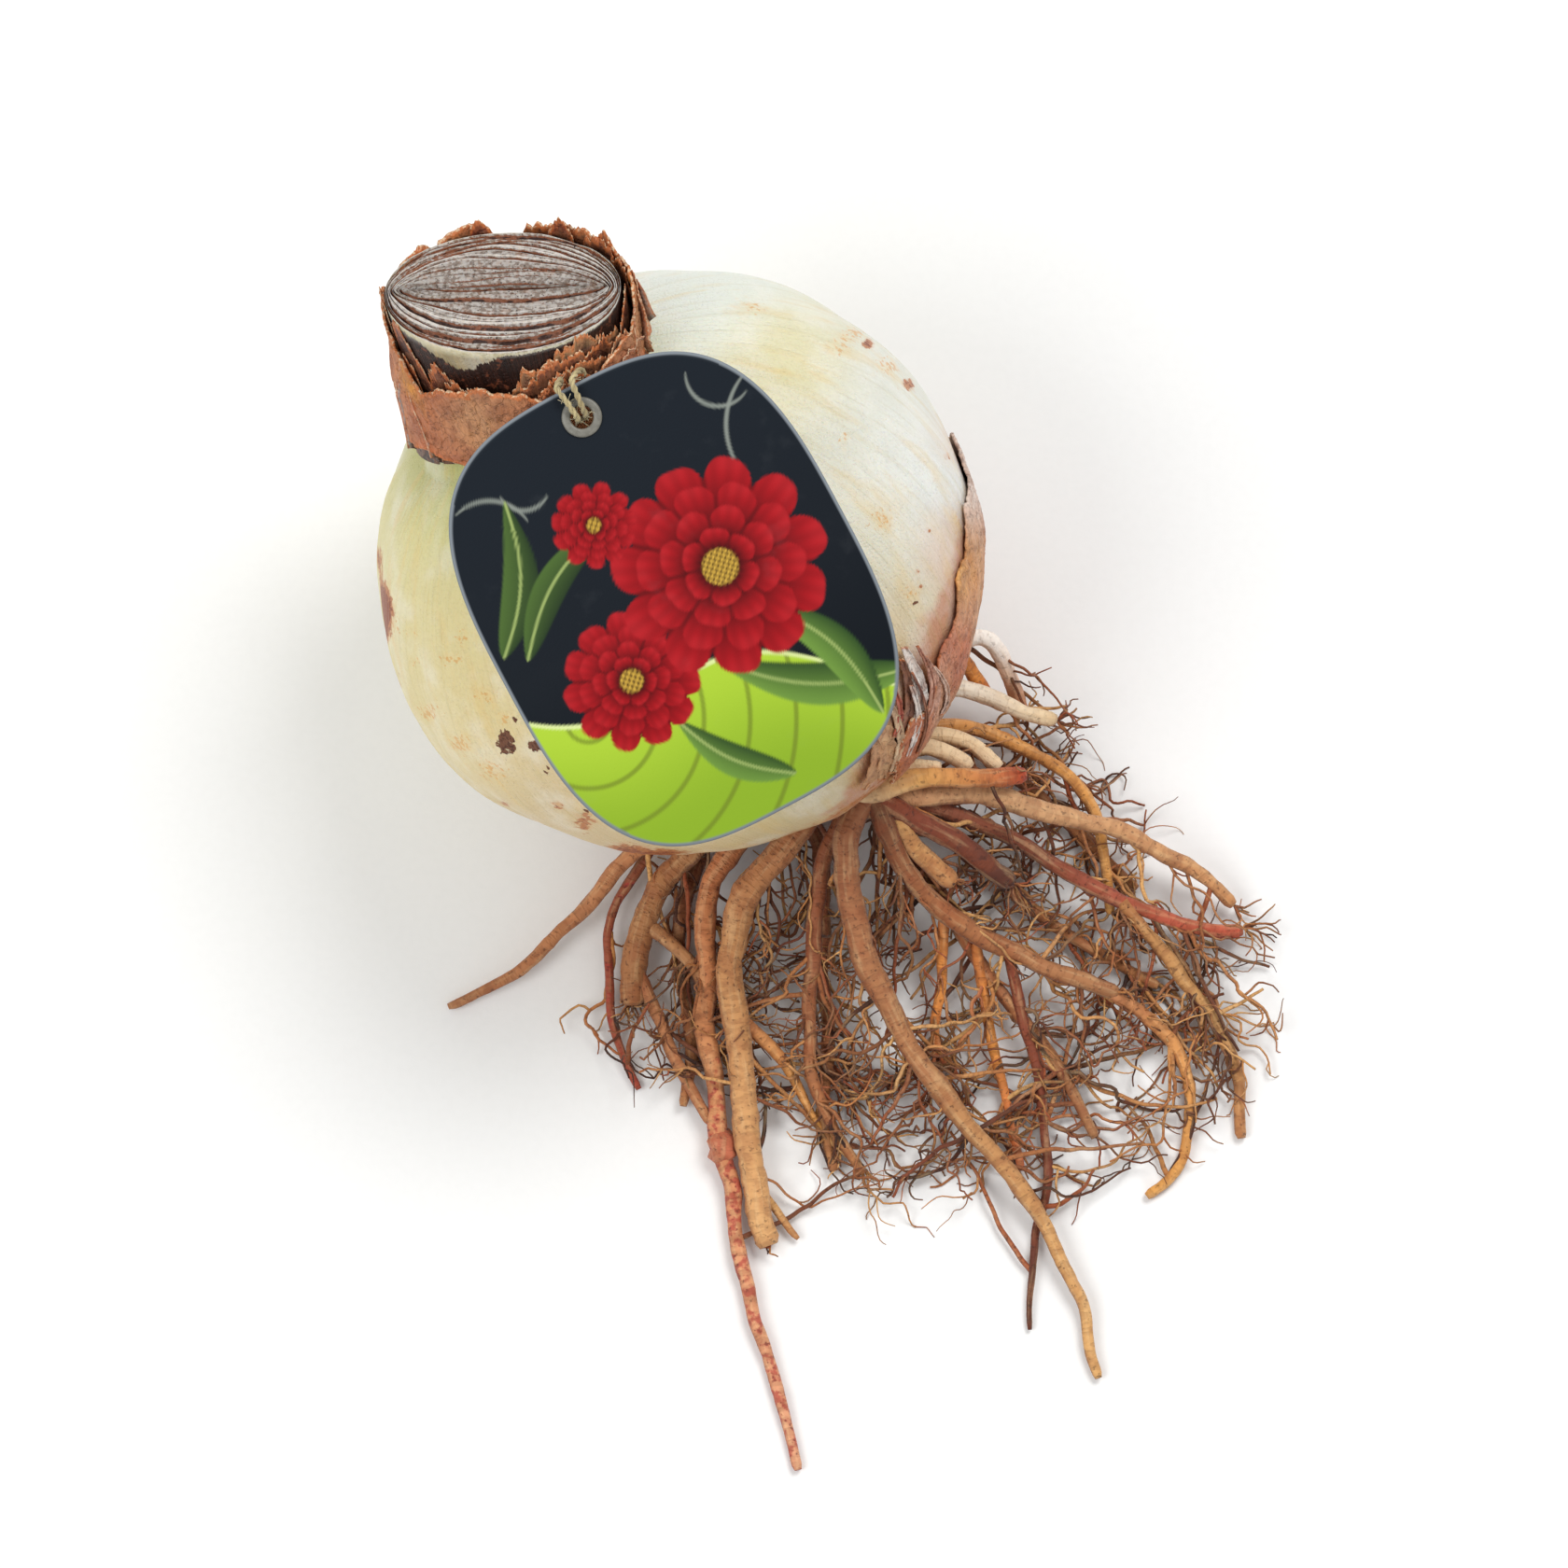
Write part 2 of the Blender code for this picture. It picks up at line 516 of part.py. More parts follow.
def add_rootlets(lines, group):
    """Fine rootlets: each leaves a thick root and wanders to a drawn place in one of the mats."""
    draw = random.Random(ROOTLET_SEED)
    hosts = [point for line in lines for point in line[2:-1]]
    shares = [mat[2] for mat in ROOTLET_MATS]
    for index in range(ROOTLET_COUNT):
        (x, y), spread, _ = draw.choices(ROOTLET_MATS, shares)[0]
        angle, reach = draw.uniform(0, 2 * math.pi), spread * math.sqrt(draw.random())
        goal = Vector((x + reach * math.cos(angle), y + reach * math.sin(angle), draw.uniform(1.0, 5.0))) * MM
        near = [point for point in hosts if ROOTLET_REACH[0] < (point.xy - goal.xy).length < ROOTLET_REACH[1]]
        start = draw.choice(near)
        side = (goal - start).cross(Vector((0, 0, 1))).normalized()
        points = [start]
        for step in range(1, ROOTLET_BENDS + 1):
            share = step / ROOTLET_BENDS
            swing = side * draw.uniform(-ROOTLET_SWING, ROOTLET_SWING)
            lift = Vector((0, 0, draw.uniform(-1.0, 1.5) * MM))
            points.append(start.lerp(goal, share) + swing + lift)
        add_root(f"rootlet_{index}", points, ROOTLET_RADIUS, ROOTLET_RADIUS * 0.7, ROOTLET_SPACING, 0, group)


def make_plate(group, material):
    """Corky basal plate under the bulb: a turned profile, then laid under the body."""
    top = BOTTOM_HEIGHT - MATING_GAP
    profile = [(0.0, top), (PLATE_RADIUS, top), (PLATE_RADIUS, top - PLATE_THICKNESS * 0.35),
               (PLATE_RADIUS * 0.82, top - PLATE_THICKNESS), (0.0, top - PLATE_THICKNESS * 1.25)]
    bm = bmesh.new()
    verts = [bm.verts.new((x, 0.0, z)) for x, z in profile]
    edges = [bm.edges.new(pair) for pair in zip(verts, verts[1:])]
    bmesh.ops.spin(bm, geom=verts + edges, cent=(0, 0, 0), axis=(0, 0, 1), angle=2 * math.pi, steps=28,
                   use_merge=True)
    bmesh.ops.remove_doubles(bm, verts=bm.verts, dist=0.01 * MM)
    bmesh.ops.recalc_face_normals(bm, faces=bm.faces)
    bm.transform(Matrix.Translation(CENTRE) @ LEAN.to_4x4())
    return new_object("roots", bm, group, material)


def keep_main_body(obj):
    """Drop loose scraps and sealed hollows, which the union may leave."""
    bm = bmesh.new()
    bm.from_mesh(obj.data)
    bmesh.ops.triangulate(bm, faces=bm.faces)
    unseen = set(bm.verts)
    bodies = []
    while unseen:
        body, edge = set(), [unseen.pop()]
        while edge:
            vert = edge.pop()
            body.add(vert)
            near = {link.other_vert(vert) for link in vert.link_edges} & unseen
            unseen -= near
            edge.extend(near)
        bodies.append(body)
    main = max(bodies, key=len)
    bmesh.ops.delete(bm, geom=[vert for vert in bm.verts if vert not in main], context="VERTS")
    bm.to_mesh(obj.data)
    bm.free()


def make_roots(group, material):
    """Basal plate, thick roots, branches and rootlets, joined in one body."""
    roots = make_plate(group, material)
    strands = new_collection("root_strands")
    lines = []
    for name, (turn, radius, tip, route) in THICK_ROOTS.items():
        lines.append(add_root(name, root_route(turn, route), radius * MM, tip * MM, ROOT_SPACING, 1, strands))
    for name, (radius, tip, route) in BRANCHES.items():
        points = [Vector(point) * MM for point in route]
        lines.append(add_root(name, points, radius * MM, tip * MM, ROOT_SPACING, 1, strands))
    add_rootlets(lines, strands)
    bm = bmesh.new()
    bmesh.ops.create_icosphere(bm, subdivisions=1, radius=KNOB_RADIUS)
    bm.transform(Matrix.Translation(KNOB_PLACE))
    new_object("root_knob", bm, strands)
    union = roots.modifiers.new("one body", "BOOLEAN")
    union.operation = "UNION"
    union.operand_type = "COLLECTION"
    union.collection = strands
    union.solver = "MANIFOLD"
    apply_modifiers(roots)
    for obj in list(strands.objects):
        bpy.data.objects.remove(obj)
    bpy.data.collections.remove(strands)
    keep_main_body(roots)
    roots.data.materials.clear()
    roots.data.materials.append(material)
    return roots


def tag_frame():
    """Place of the tag: on top of the body, turned and tilted to the front."""
    tilt = Euler((math.radians(TAG_TILT), 0, 0)).to_matrix()
    lift = BODY_RADIUS + MATING_GAP + TAG_THICKNESS / 2 + 0.1 * MM
    spot = CENTRE + tilt @ Vector((TAG_SHIFT.x, TAG_SHIFT.y, lift))
    return Matrix.Translation(spot) @ tilt.to_4x4() @ Matrix.Rotation(math.radians(TAG_TURN), 4, "Z")


def tag_height(y):
    """Height of the card's middle: straight above, sagging towards its lower edge."""
    low = max(0.0, TAG_SAG_START - y)
    return TAG_TOP_SLOPE * max(0.0, y) - low * low / (2 * TAG_SAG_RADIUS)


def tag_outline(angle):
    """Outline radius of the barrel-shaped card in this direction."""
    x, y = abs(math.cos(angle)) / TAG_HALF_WIDTH, abs(math.sin(angle)) / TAG_HALF_LENGTH
    return (x ** TAG_SQUARENESS + y ** TAG_SQUARENESS) ** (-1 / TAG_SQUARENESS)


def make_tag(group, cutters, material, frame):
    """Card with rounded corners and a punched hole."""
    bm = bmesh.new()
    bmesh.ops.create_grid(bm, x_segments=TAG_STEPS[0], y_segments=TAG_STEPS[1], size=1.0)
    for vert in bm.verts:
        reach = max(abs(vert.co.x), abs(vert.co.y))
        angle = math.atan2(vert.co.y * TAG_HALF_LENGTH, vert.co.x * TAG_HALF_WIDTH)
        size = reach * tag_outline(angle)
        x, y = size * math.cos(angle), size * math.sin(angle)
        vert.co = (x, y, tag_height(y))
    bmesh.ops.recalc_face_normals(bm, faces=bm.faces)
    tag = new_object("tag", bm, group, material)
    tag.matrix_world = frame
    add_thickness(tag, TAG_THICKNESS)
    bm = bmesh.new()
    bmesh.ops.create_cone(bm, cap_ends=True, segments=24, radius1=TAG_HOLE_RADIUS, radius2=TAG_HOLE_RADIUS,
                          depth=8.0 * MM)
    punch = new_object("tag_punch", bm, cutters)
    punch.matrix_world = frame @ Matrix.Translation((*TAG_HOLE, tag_height(TAG_HOLE.y)))
    punch.hide_render = True
    punch.display_type = "WIRE"
    hole = tag.modifiers.new("hole", "BOOLEAN")
    hole.operation = "DIFFERENCE"
    hole.object = punch
    return tag


def make_eyelet(group, material, frame):
    """Turned ring that lines the tag's hole, with a rim on both faces."""
    inner = TAG_THICKNESS / 2 + EYELET_GAP
    outer = inner + EYELET_WALL
    bore, barrel, rim = EYELET_BORE, EYELET_BORE + EYELET_WALL, EYELET_RIM
    profile = [(bore, outer), (rim, outer), (rim, inner), (barrel, inner),
               (barrel, -inner), (rim, -inner), (rim, -outer), (bore, -outer)]
    bm = bmesh.new()
    verts = [bm.verts.new((x, 0.0, z)) for x, z in profile]
    edges = [bm.edges.new(pair) for pair in zip(verts, verts[1:] + verts[:1])]
    bmesh.ops.spin(bm, geom=verts + edges, cent=(0, 0, 0), axis=(0, 0, 1), angle=2 * math.pi, steps=24,
                   use_merge=True)
    bmesh.ops.remove_doubles(bm, verts=bm.verts, dist=0.01 * MM)
    bmesh.ops.recalc_face_normals(bm, faces=bm.faces)
    eyelet = new_object("eyelet", bm, group, material)
    eyelet.matrix_world = frame @ Matrix.Translation((*TAG_HOLE, tag_height(TAG_HOLE.y)))
    return eyelet


def twine_route(frame, lean):
    """Closed route: through the eyelet, over the tag's edge and round the neck inside the collar."""
    def on_tag(x, y, z):
        place = Vector((TAG_HOLE.x + x * MM, TAG_HOLE.y + y * MM, z * MM))
        place.z += tag_height(place.y)
        return frame @ place

    def round_neck(turn, rise, off):
        return lean @ raised(skin_point, math.radians(turn), rise, off)

    off = SKIN_GAP + TWINE_RADIUS + 0.05 * MM
    over = COLLAR_GAP / 2 + SKIN_THICKNESS
    points = [on_tag(0.0, -0.3, -2.4), on_tag(-0.66, -0.1, -1.0), on_tag(-0.66, 0.1, 0.6),
              on_tag(-0.75, 1.2, 1.75), on_tag(-0.95, 3.2, 1.75), on_tag(-1.3, 5.6, 1.5)]
    points += [round_neck(TWINE_LEFT_TURN, 0.86, over), round_neck(TWINE_LEFT_TURN - 4, 0.7, off)]
    span = 360.0 - (TWINE_RIGHT_TURN - TWINE_LEFT_TURN) - 24.0
    steps = 14
    points += [round_neck(TWINE_LEFT_TURN - 12 - span * index / steps, TWINE_RISE, off)
               for index in range(steps + 1)]
    points += [round_neck(TWINE_RIGHT_TURN + 4, 0.7, off), round_neck(TWINE_RIGHT_TURN, 0.86, over)]
    points += [on_tag(1.3, 5.6, 1.5), on_tag(0.95, 3.2, 1.75), on_tag(0.75, 1.2, 1.75), on_tag(0.66, 0.1, 0.6),
               on_tag(0.66, -0.1, -1.0)]
    return points


def closed_route(points, spacing):
    """Points at about this spacing along a closed smooth curve, two or more to a span."""
    ring = points[-1:] + points + points[:2]
    route = []
    for before, start, end, after in zip(ring, ring[1:], ring[2:], ring[3:]):
        count = max(2, round((end - start).length / spacing))
        route += [curve_point(before, start, end, after, index / count) for index in range(count)]
    return route


def make_twine(group, material, frame, lean):
    """Thin twine in one closed loop."""
    points = closed_route(twine_route(frame, lean), TWINE_SPACING)
    twine = tube("twine", points, [TWINE_RADIUS] * len(points), group, 2, cyclic=True)
    twine.data.materials.append(material)
    return twine


def main():
    """Build every piece."""
    for obj in list(bpy.data.objects):
        bpy.data.objects.remove(obj)
    group = new_collection("amaryllis_bulb")
    cutters = new_collection("cutters")
    lean = Matrix.Translation(CENTRE) @ LEAN.to_4x4()
    base = bpy.data.objects.new("bulb_lean", None)
    group.objects.link(base)
    base.matrix_world = lean
    flesh = new_material("bulb_flesh", (0.72, 0.66, 0.42), 0.55)
    papery = new_material("dry_tunic", (0.25, 0.09, 0.045), 0.8)
    corky = new_material("root_skin", (0.38, 0.2, 0.1), 0.8)
    card = new_material("printed_card", (0.02, 0.025, 0.035), 0.35)
    ring = new_material("eyelet_ring", (0.5, 0.5, 0.5), 0.4)
    jute = new_material("jute_twine", (0.5, 0.4, 0.22), 0.9)
    for obj in (make_bulb(group, flesh, lean), make_neck_tunic(group, papery), make_side_tunic(group, papery)):
        obj.parent = base
    make_roots(group, corky)
    frame = tag_frame()
    make_tag(group, cutters, card, frame)
    make_eyelet(group, ring, frame)
    make_twine(group, jute, frame, lean)


main()
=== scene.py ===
"""Looks of a bare-root amaryllis bulb with a cut neck and a hang tag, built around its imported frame.

Metres, +Z up, in the frame's own coordinates. Each class is one sub-assembly: its fields are sizes, and its
methods grow its meshes and dress them. Each finish says what the real surface is and how it is painted.
"""

import logging
import math
import random
from dataclasses import dataclass, field
from enum import Enum
from typing import Callable, Sequence

import bmesh
import bpy
from mathutils import Euler, Matrix, Vector, noise


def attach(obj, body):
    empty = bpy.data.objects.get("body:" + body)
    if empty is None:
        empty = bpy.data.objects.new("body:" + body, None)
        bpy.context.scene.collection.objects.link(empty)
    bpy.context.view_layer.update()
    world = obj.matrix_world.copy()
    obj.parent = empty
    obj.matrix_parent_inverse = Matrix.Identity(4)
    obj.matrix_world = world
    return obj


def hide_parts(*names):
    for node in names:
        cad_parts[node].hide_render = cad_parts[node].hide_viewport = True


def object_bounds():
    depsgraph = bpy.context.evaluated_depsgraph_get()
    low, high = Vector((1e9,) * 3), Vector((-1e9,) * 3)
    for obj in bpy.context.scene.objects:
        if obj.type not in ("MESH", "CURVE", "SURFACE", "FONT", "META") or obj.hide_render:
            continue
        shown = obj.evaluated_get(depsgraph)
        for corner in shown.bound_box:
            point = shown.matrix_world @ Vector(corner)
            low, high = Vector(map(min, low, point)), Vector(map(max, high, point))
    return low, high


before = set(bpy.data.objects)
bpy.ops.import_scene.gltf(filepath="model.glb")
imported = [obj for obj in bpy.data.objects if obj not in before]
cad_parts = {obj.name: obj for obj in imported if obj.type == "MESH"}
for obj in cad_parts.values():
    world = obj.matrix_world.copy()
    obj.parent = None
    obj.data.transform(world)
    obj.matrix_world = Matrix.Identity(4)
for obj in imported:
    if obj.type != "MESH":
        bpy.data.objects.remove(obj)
CAD_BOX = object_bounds()

LOG = logging.getLogger("amaryllis")
MM = 0.001
FULL_TURN = 2 * math.pi
Colour = tuple[float, float, float, float]
Bush = bmesh.types.BMesh
Socket = bpy.types.NodeSocket
Tree = bpy.types.NodeTree


def linear(code: str) -> Colour:
    """Linear RGBA of an sRGB hex colour."""
    parts = [int(code[place:place + 2], 16) / 255 for place in (1, 3, 5)]
    return (*[part / 12.92 if part <= 0.04045 else ((part + 0.055) / 1.055) ** 2.4 for part in parts], 1.0)


def blended(first: Colour, second: Colour, share: float) -> Colour:
    """Colour between two, at this share of the second."""
    share = max(0.0, min(1.0, share))
    return tuple(a + (b - a) * share for a, b in zip(first, second))


def eased(value: float, low: float, high: float) -> float:
    """Smooth step of the value from 0 at low to 1 at high."""
    share = max(0.0, min(1.0, (value - low) / (high - low)))
    return share * share * (3 - 2 * share)


def apart(turn: float, at: float) -> float:
    """Degrees from a turn in degrees to another in radians, the short way round."""
    return (math.degrees(turn) - at + 180) % 360 - 180


def round_way(turn: float, up: float = 0.0) -> Vector:
    """Point on the unit circle at this turn in radians, and this far up."""
    return Vector((math.cos(turn), math.sin(turn), up))


def add(tree: Tree, kind: str, inputs: dict | None = None, **settings: object) -> bpy.types.Node:
    """Adds a node with its settings, values and links.

    Args:
        tree: Node tree to add to.
        kind: Blender's name of the node type.
        inputs: Value or output socket for each named or numbered input.
        settings: Properties of the node itself.

    Returns:
        The new node.
    """
    node = tree.nodes.new(kind)
    for name, value in settings.items():
        setattr(node, name, value)
    for name, value in (inputs or {}).items():
        if isinstance(value, Socket):
            tree.links.new(value, node.inputs[name])
        else:
            node.inputs[name].default_value = value
    return node


def patches(tree: Tree, place: Socket, size: float, low: float, high: float, detail: float = 4.0) -> Socket:
    """Soft-edged patches from noise.

    Args:
        tree: Node tree to add to.
        place: Coordinates that the patches follow.
        size: Size of a patch in mm.
        low: Noise level where a patch starts.
        high: Noise level where it is full.
        detail: Octaves of finer noise.

    Returns:
        Socket with 0 outside the patches and 1 inside.
    """
    grain = add(tree, "ShaderNodeTexNoise", {"Vector": place, "Scale": 1 / (size * MM), "Detail": detail})
    levels = {"Value": grain.outputs["Fac"], "From Min": low, "From Max": high}
    return add(tree, "ShaderNodeMapRange", levels, interpolation_type="SMOOTHSTEP").outputs[0]


def stained(tree: Tree, under: Socket | Colour, code: str, mask: Socket, strength: float = 1.0) -> Socket:
    """Lays a colour over another where a mask says.

    Args:
        tree: Node tree to add to.
        under: Colour below.
        code: Hex colour of the stain.
        mask: Where the stain is, from 0 to 1.
        strength: How much of the stain's colour shows at 1.

    Returns:
        Socket with the mixed colour.
    """
    share = add(tree, "ShaderNodeMath", {0: mask, 1: strength}, operation="MULTIPLY", use_clamp=True)
    mixed = add(tree, "ShaderNodeMix", {0: share.outputs[0], 6: under, 7: linear(code)}, data_type="RGBA")
    return mixed.outputs[2]


def layered(tree: Tree, under: Socket | Colour, *stains: tuple[str, Socket, float]) -> Socket:
    """Lays several colours over another, one after the other.

    Args:
        tree: Node tree to add to.
        under: Colour below them all.
        stains: Hex colour, mask and strength of each.

    Returns:
        Socket with the mixed colour.
    """
    for code, mask, strength in stains:
        under = stained(tree, under, code, mask, strength)
    return under


def broken(tree: Tree, mask: Socket, place: Socket, size: float, level: float, softness: float) -> Socket:
    """Breaks a soft mask up into ragged spots.

    Args:
        tree: Node tree to add to.
        mask: Soft mask from 0 to 1.
        place: Coordinates that the noise follows.
        size: Size of the ragged edge in mm.
        level: Sum of mask and noise at which a spot starts.
        softness: Width of the spot's edge in the same measure.

    Returns:
        Socket with 0 outside the spots and 1 inside.
    """
    grain = add(tree, "ShaderNodeTexNoise", {"Vector": place, "Scale": 1 / (size * MM), "Detail": 5.0})
    total = add(tree, "ShaderNodeMath", {0: mask, 1: grain.outputs["Fac"]}, operation="ADD").outputs[0]
    levels = {"Value": total, "From Min": level, "From Max": level + softness}
    return add(tree, "ShaderNodeMapRange", levels, interpolation_type="SMOOTHSTEP").outputs[0]


def weighted(tree: Tree, *terms: tuple[Socket, float]) -> Socket:
    """Sum of sockets, each times its weight.

    Args:
        tree: Node tree to add to.
        terms: Each socket with its weight.

    Returns:
        Socket with the sum.
    """
    total: Socket | float = 0.0
    for value, weight in terms:
        terms_so_far = {0: value, 1: weight, 2: total}
        total = add(tree, "ShaderNodeMath", terms_so_far, operation="MULTIPLY_ADD").outputs[0]
    return total


@dataclass(frozen=True)
class Finish:
    """A surface: its name, the constants of its shader, and how it is painted."""

    name: str
    roughness: float = 0.5
    ior: float = 1.45
    relief: float = 0.1
    sheen: float = 0.0
    flesh_depth: float = 0.0

    def paint(self, tree: Tree) -> tuple[Socket, Socket, Socket | None]:
        """Nodes for the colour, the height and, where it varies, the roughness."""
        raise NotImplementedError

    def material(self) -> bpy.types.Material:
        """Material with this finish."""
        made = bpy.data.materials.new(self.name)
        made.use_nodes = True
        tree = made.node_tree
        shader = tree.nodes["Principled BSDF"]
        colour, height, roughness = self.paint(tree)
        tree.links.new(colour, shader.inputs["Base Color"])
        shader.inputs["IOR"].default_value = self.ior
        shader.inputs["Roughness"].default_value = self.roughness
        if roughness:
            tree.links.new(roughness, shader.inputs["Roughness"])
        if self.sheen:
            shader.inputs["Sheen Weight"].default_value = self.sheen
            shader.inputs["Sheen Roughness"].default_value = 0.5
        if self.flesh_depth:
            shader.inputs["Subsurface Weight"].default_value = 0.25
            shader.inputs["Subsurface Radius"].default_value = (1.0, 0.7, 0.4)
            shader.inputs["Subsurface Scale"].default_value = self.flesh_depth * MM
        bump = add(tree, "ShaderNodeBump", {"Height": height, "Distance": self.relief * MM, "Strength": 1.0})
        tree.links.new(bump.outputs["Normal"], shader.inputs["Normal"])
        return made


@dataclass(frozen=True)
class BulbScale(Finish):
    """Fresh bulb scale: moist white leaf bases with parallel veins, which stain and cork where bruised."""

    def paint(self, tree: Tree) -> tuple[Socket, Socket, Socket | None]:
        """Veins along the meridians, mottle, bruises and scabs, then the cut and the dark husk over it, which
        is painted near-black as shade inside the collar.
        """
        tone = add(tree, "ShaderNodeAttribute", attribute_name="tone").outputs["Color"]
        along = add(tree, "ShaderNodeAttribute", attribute_name="fibre").outputs["Vector"]
        blush, rust, scab, husk_and_shade_share, cut, seam, rim = (
            add(tree, "ShaderNodeAttribute", attribute_name=name).outputs["Fac"]
            for name in ("blush", "rust", "scab", "husk_and_shade", "cut", "seam", "rim"))
        place = add(tree, "ShaderNodeTexCoord").outputs["Object"]
        drawn = add(tree, "ShaderNodeMapping", {"Vector": along, "Scale": (1.0, 1.0, 4.0)}).outputs[0]
        # Veins are 1.2 mm apart at the belly and closer at the neck, as the leaf bases narrow
        veins = patches(tree, along, 1.2, 0.5, 0.72, 2.0)
        clouds = patches(tree, place, 8.0, 0.42, 0.68)
        yellows = patches(tree, drawn, 3.4, 0.5, 0.75)
        pores = patches(tree, place, 0.45, 0.35, 0.75, 3.0)
        streaks = broken(tree, rust, place, 1.3, 1.04, 0.12)
        crust = broken(tree, scab, place, 1.1, 1.0, 0.06)
        # Bruised skin turns straw yellow in specks, then rusty in streaks with dark middles, then corky
        colour = layered(
            tree, tone, ("#F7F5EC", clouds, 0.3), ("#E2C070", yellows, 0.34), ("#BCAA66", veins, 0.14),
            ("#A58E68", pores, 0.07), ("#E6C07A", broken(tree, blush, place, 2.2, 0.95, 0.4), 0.34),
            ("#D89A44", broken(tree, blush, place, 0.8, 1.12, 0.12), 0.62),
            ("#D09050", broken(tree, rust, place, 2.4, 0.88, 0.4), 0.55), ("#B4682F", streaks, 0.85),
            ("#843C20", broken(tree, rust, place, 0.8, 1.2, 0.1), 0.85), ("#70432F", crust, 0.97),
            ("#3F231A", broken(tree, crust, place, 0.5, 1.5, 0.1), 0.7))
        # Withered outer leaf bases cling to the neck's wall as brown fibre, and the husk is painted
        # near-black as the shade in the gap inside the collar
        fibres = patches(tree, along, 0.5, 0.35, 0.68, 3.0)
        husk_and_shade = layered(tree, linear("#3A2018"), ("#100806", fibres, 0.9),
                       ("#8A4E34", patches(tree, place, 1.3, 0.58, 0.68, 3.0), 0.6))
        husk_and_shade_cover = broken(tree, husk_and_shade_share, drawn, 0.8, 0.9, 0.15)
        # The cut has dried to grey flesh with dark cells, parted by thin brown seams with pale rims
        dots = add(tree, "ShaderNodeTexVoronoi", {"Vector": place, "Scale": 1 / (0.55 * MM)})
        levels = {"Value": dots.outputs["Distance"], "From Min": 0.42, "From Max": 0.2}
        cells = add(tree, "ShaderNodeMapRange", levels).outputs[0]
        dried = layered(
            tree, linear("#B4ADA6"), ("#7A6A5E", patches(tree, place, 0.7, 0.42, 0.6), 0.9),
            ("#3C2C26", broken(tree, cells, place, 1.4, 1.34, 0.2), 0.9),
            ("#9A6848", patches(tree, place, 2.4, 0.54, 0.68), 0.34),
            ("#E2DBD2", broken(tree, rim, place, 0.9, 0.9, 0.3), 0.6),
            ("#844E32", broken(tree, seam, place, 0.6, 0.86, 0.25), 0.95),
            ("#2E1812", broken(tree, seam, place, 1.6, 1.36, 0.15), 0.95))
        for share, over in ((husk_and_shade_cover, husk_and_shade), (cut, dried)):
            colour = add(tree, "ShaderNodeMix", {0: share, 6: colour, 7: over}, data_type="RGBA").outputs[2]
        height = weighted(tree, (veins, 0.3), (yellows, 0.2), (pores, 0.12), (crust, 0.5), (streaks, -0.1),
                          (husk_and_shade_cover, 0.5), (fibres, 0.2), (cells, -0.25))
        gloss = add(tree, "ShaderNodeMapRange", {"Value": crust, "To Min": self.roughness, "To Max": 0.85})
        return colour, height, gloss.outputs[0]


@dataclass(frozen=True)
class DryTunic(Finish):
    """Dry bulb tunic: papery brown skin, dried in parallel fibres, worn orange and pale along its tears."""

    def paint(self, tree: Tree) -> tuple[Socket, Socket, Socket | None]:
        """Fibres along the skin, dark blotches, and a light worn edge."""
        tone = add(tree, "ShaderNodeAttribute", attribute_name="tone").outputs["Color"]
        along = add(tree, "ShaderNodeAttribute", attribute_name="fibre").outputs["Vector"]
        worn = add(tree, "ShaderNodeAttribute", attribute_name="tear").outputs["Fac"]
        place = add(tree, "ShaderNodeTexCoord").outputs["Object"]
        fibres = patches(tree, along, 0.5, 0.35, 0.7, 3.0)
        streaks = patches(tree, along, 1.9, 0.48, 0.7, 3.0)
        blotches = patches(tree, place, 3.0, 0.46, 0.62)
        flecks = patches(tree, place, 0.7, 0.58, 0.7)
        creases = patches(tree, place, 1.6, 0.44, 0.5, 6.0)
        colour = layered(
            tree, tone, ("#5A2E1C", fibres, 0.2), ("#DCA274", streaks, 0.25), ("#7E4630", blotches, 0.36),
            ("#C48258", creases, 0.18), ("#3E1E14", flecks, 0.4),
            ("#C9713A", broken(tree, worn, place, 1.2, 1.05, 0.25), 0.75),
            ("#E6CBA6", broken(tree, worn, place, 0.6, 1.45, 0.12), 0.8))
        height = weighted(tree, (fibres, 0.35), (streaks, 0.4), (blotches, 0.5), (flecks, 0.2),
                          (creases, 0.5))
        gloss = add(tree, "ShaderNodeMapRange", {"Value": streaks, "To Min": self.roughness, "To Max": 0.8})
        return colour, height, gloss.outputs[0]


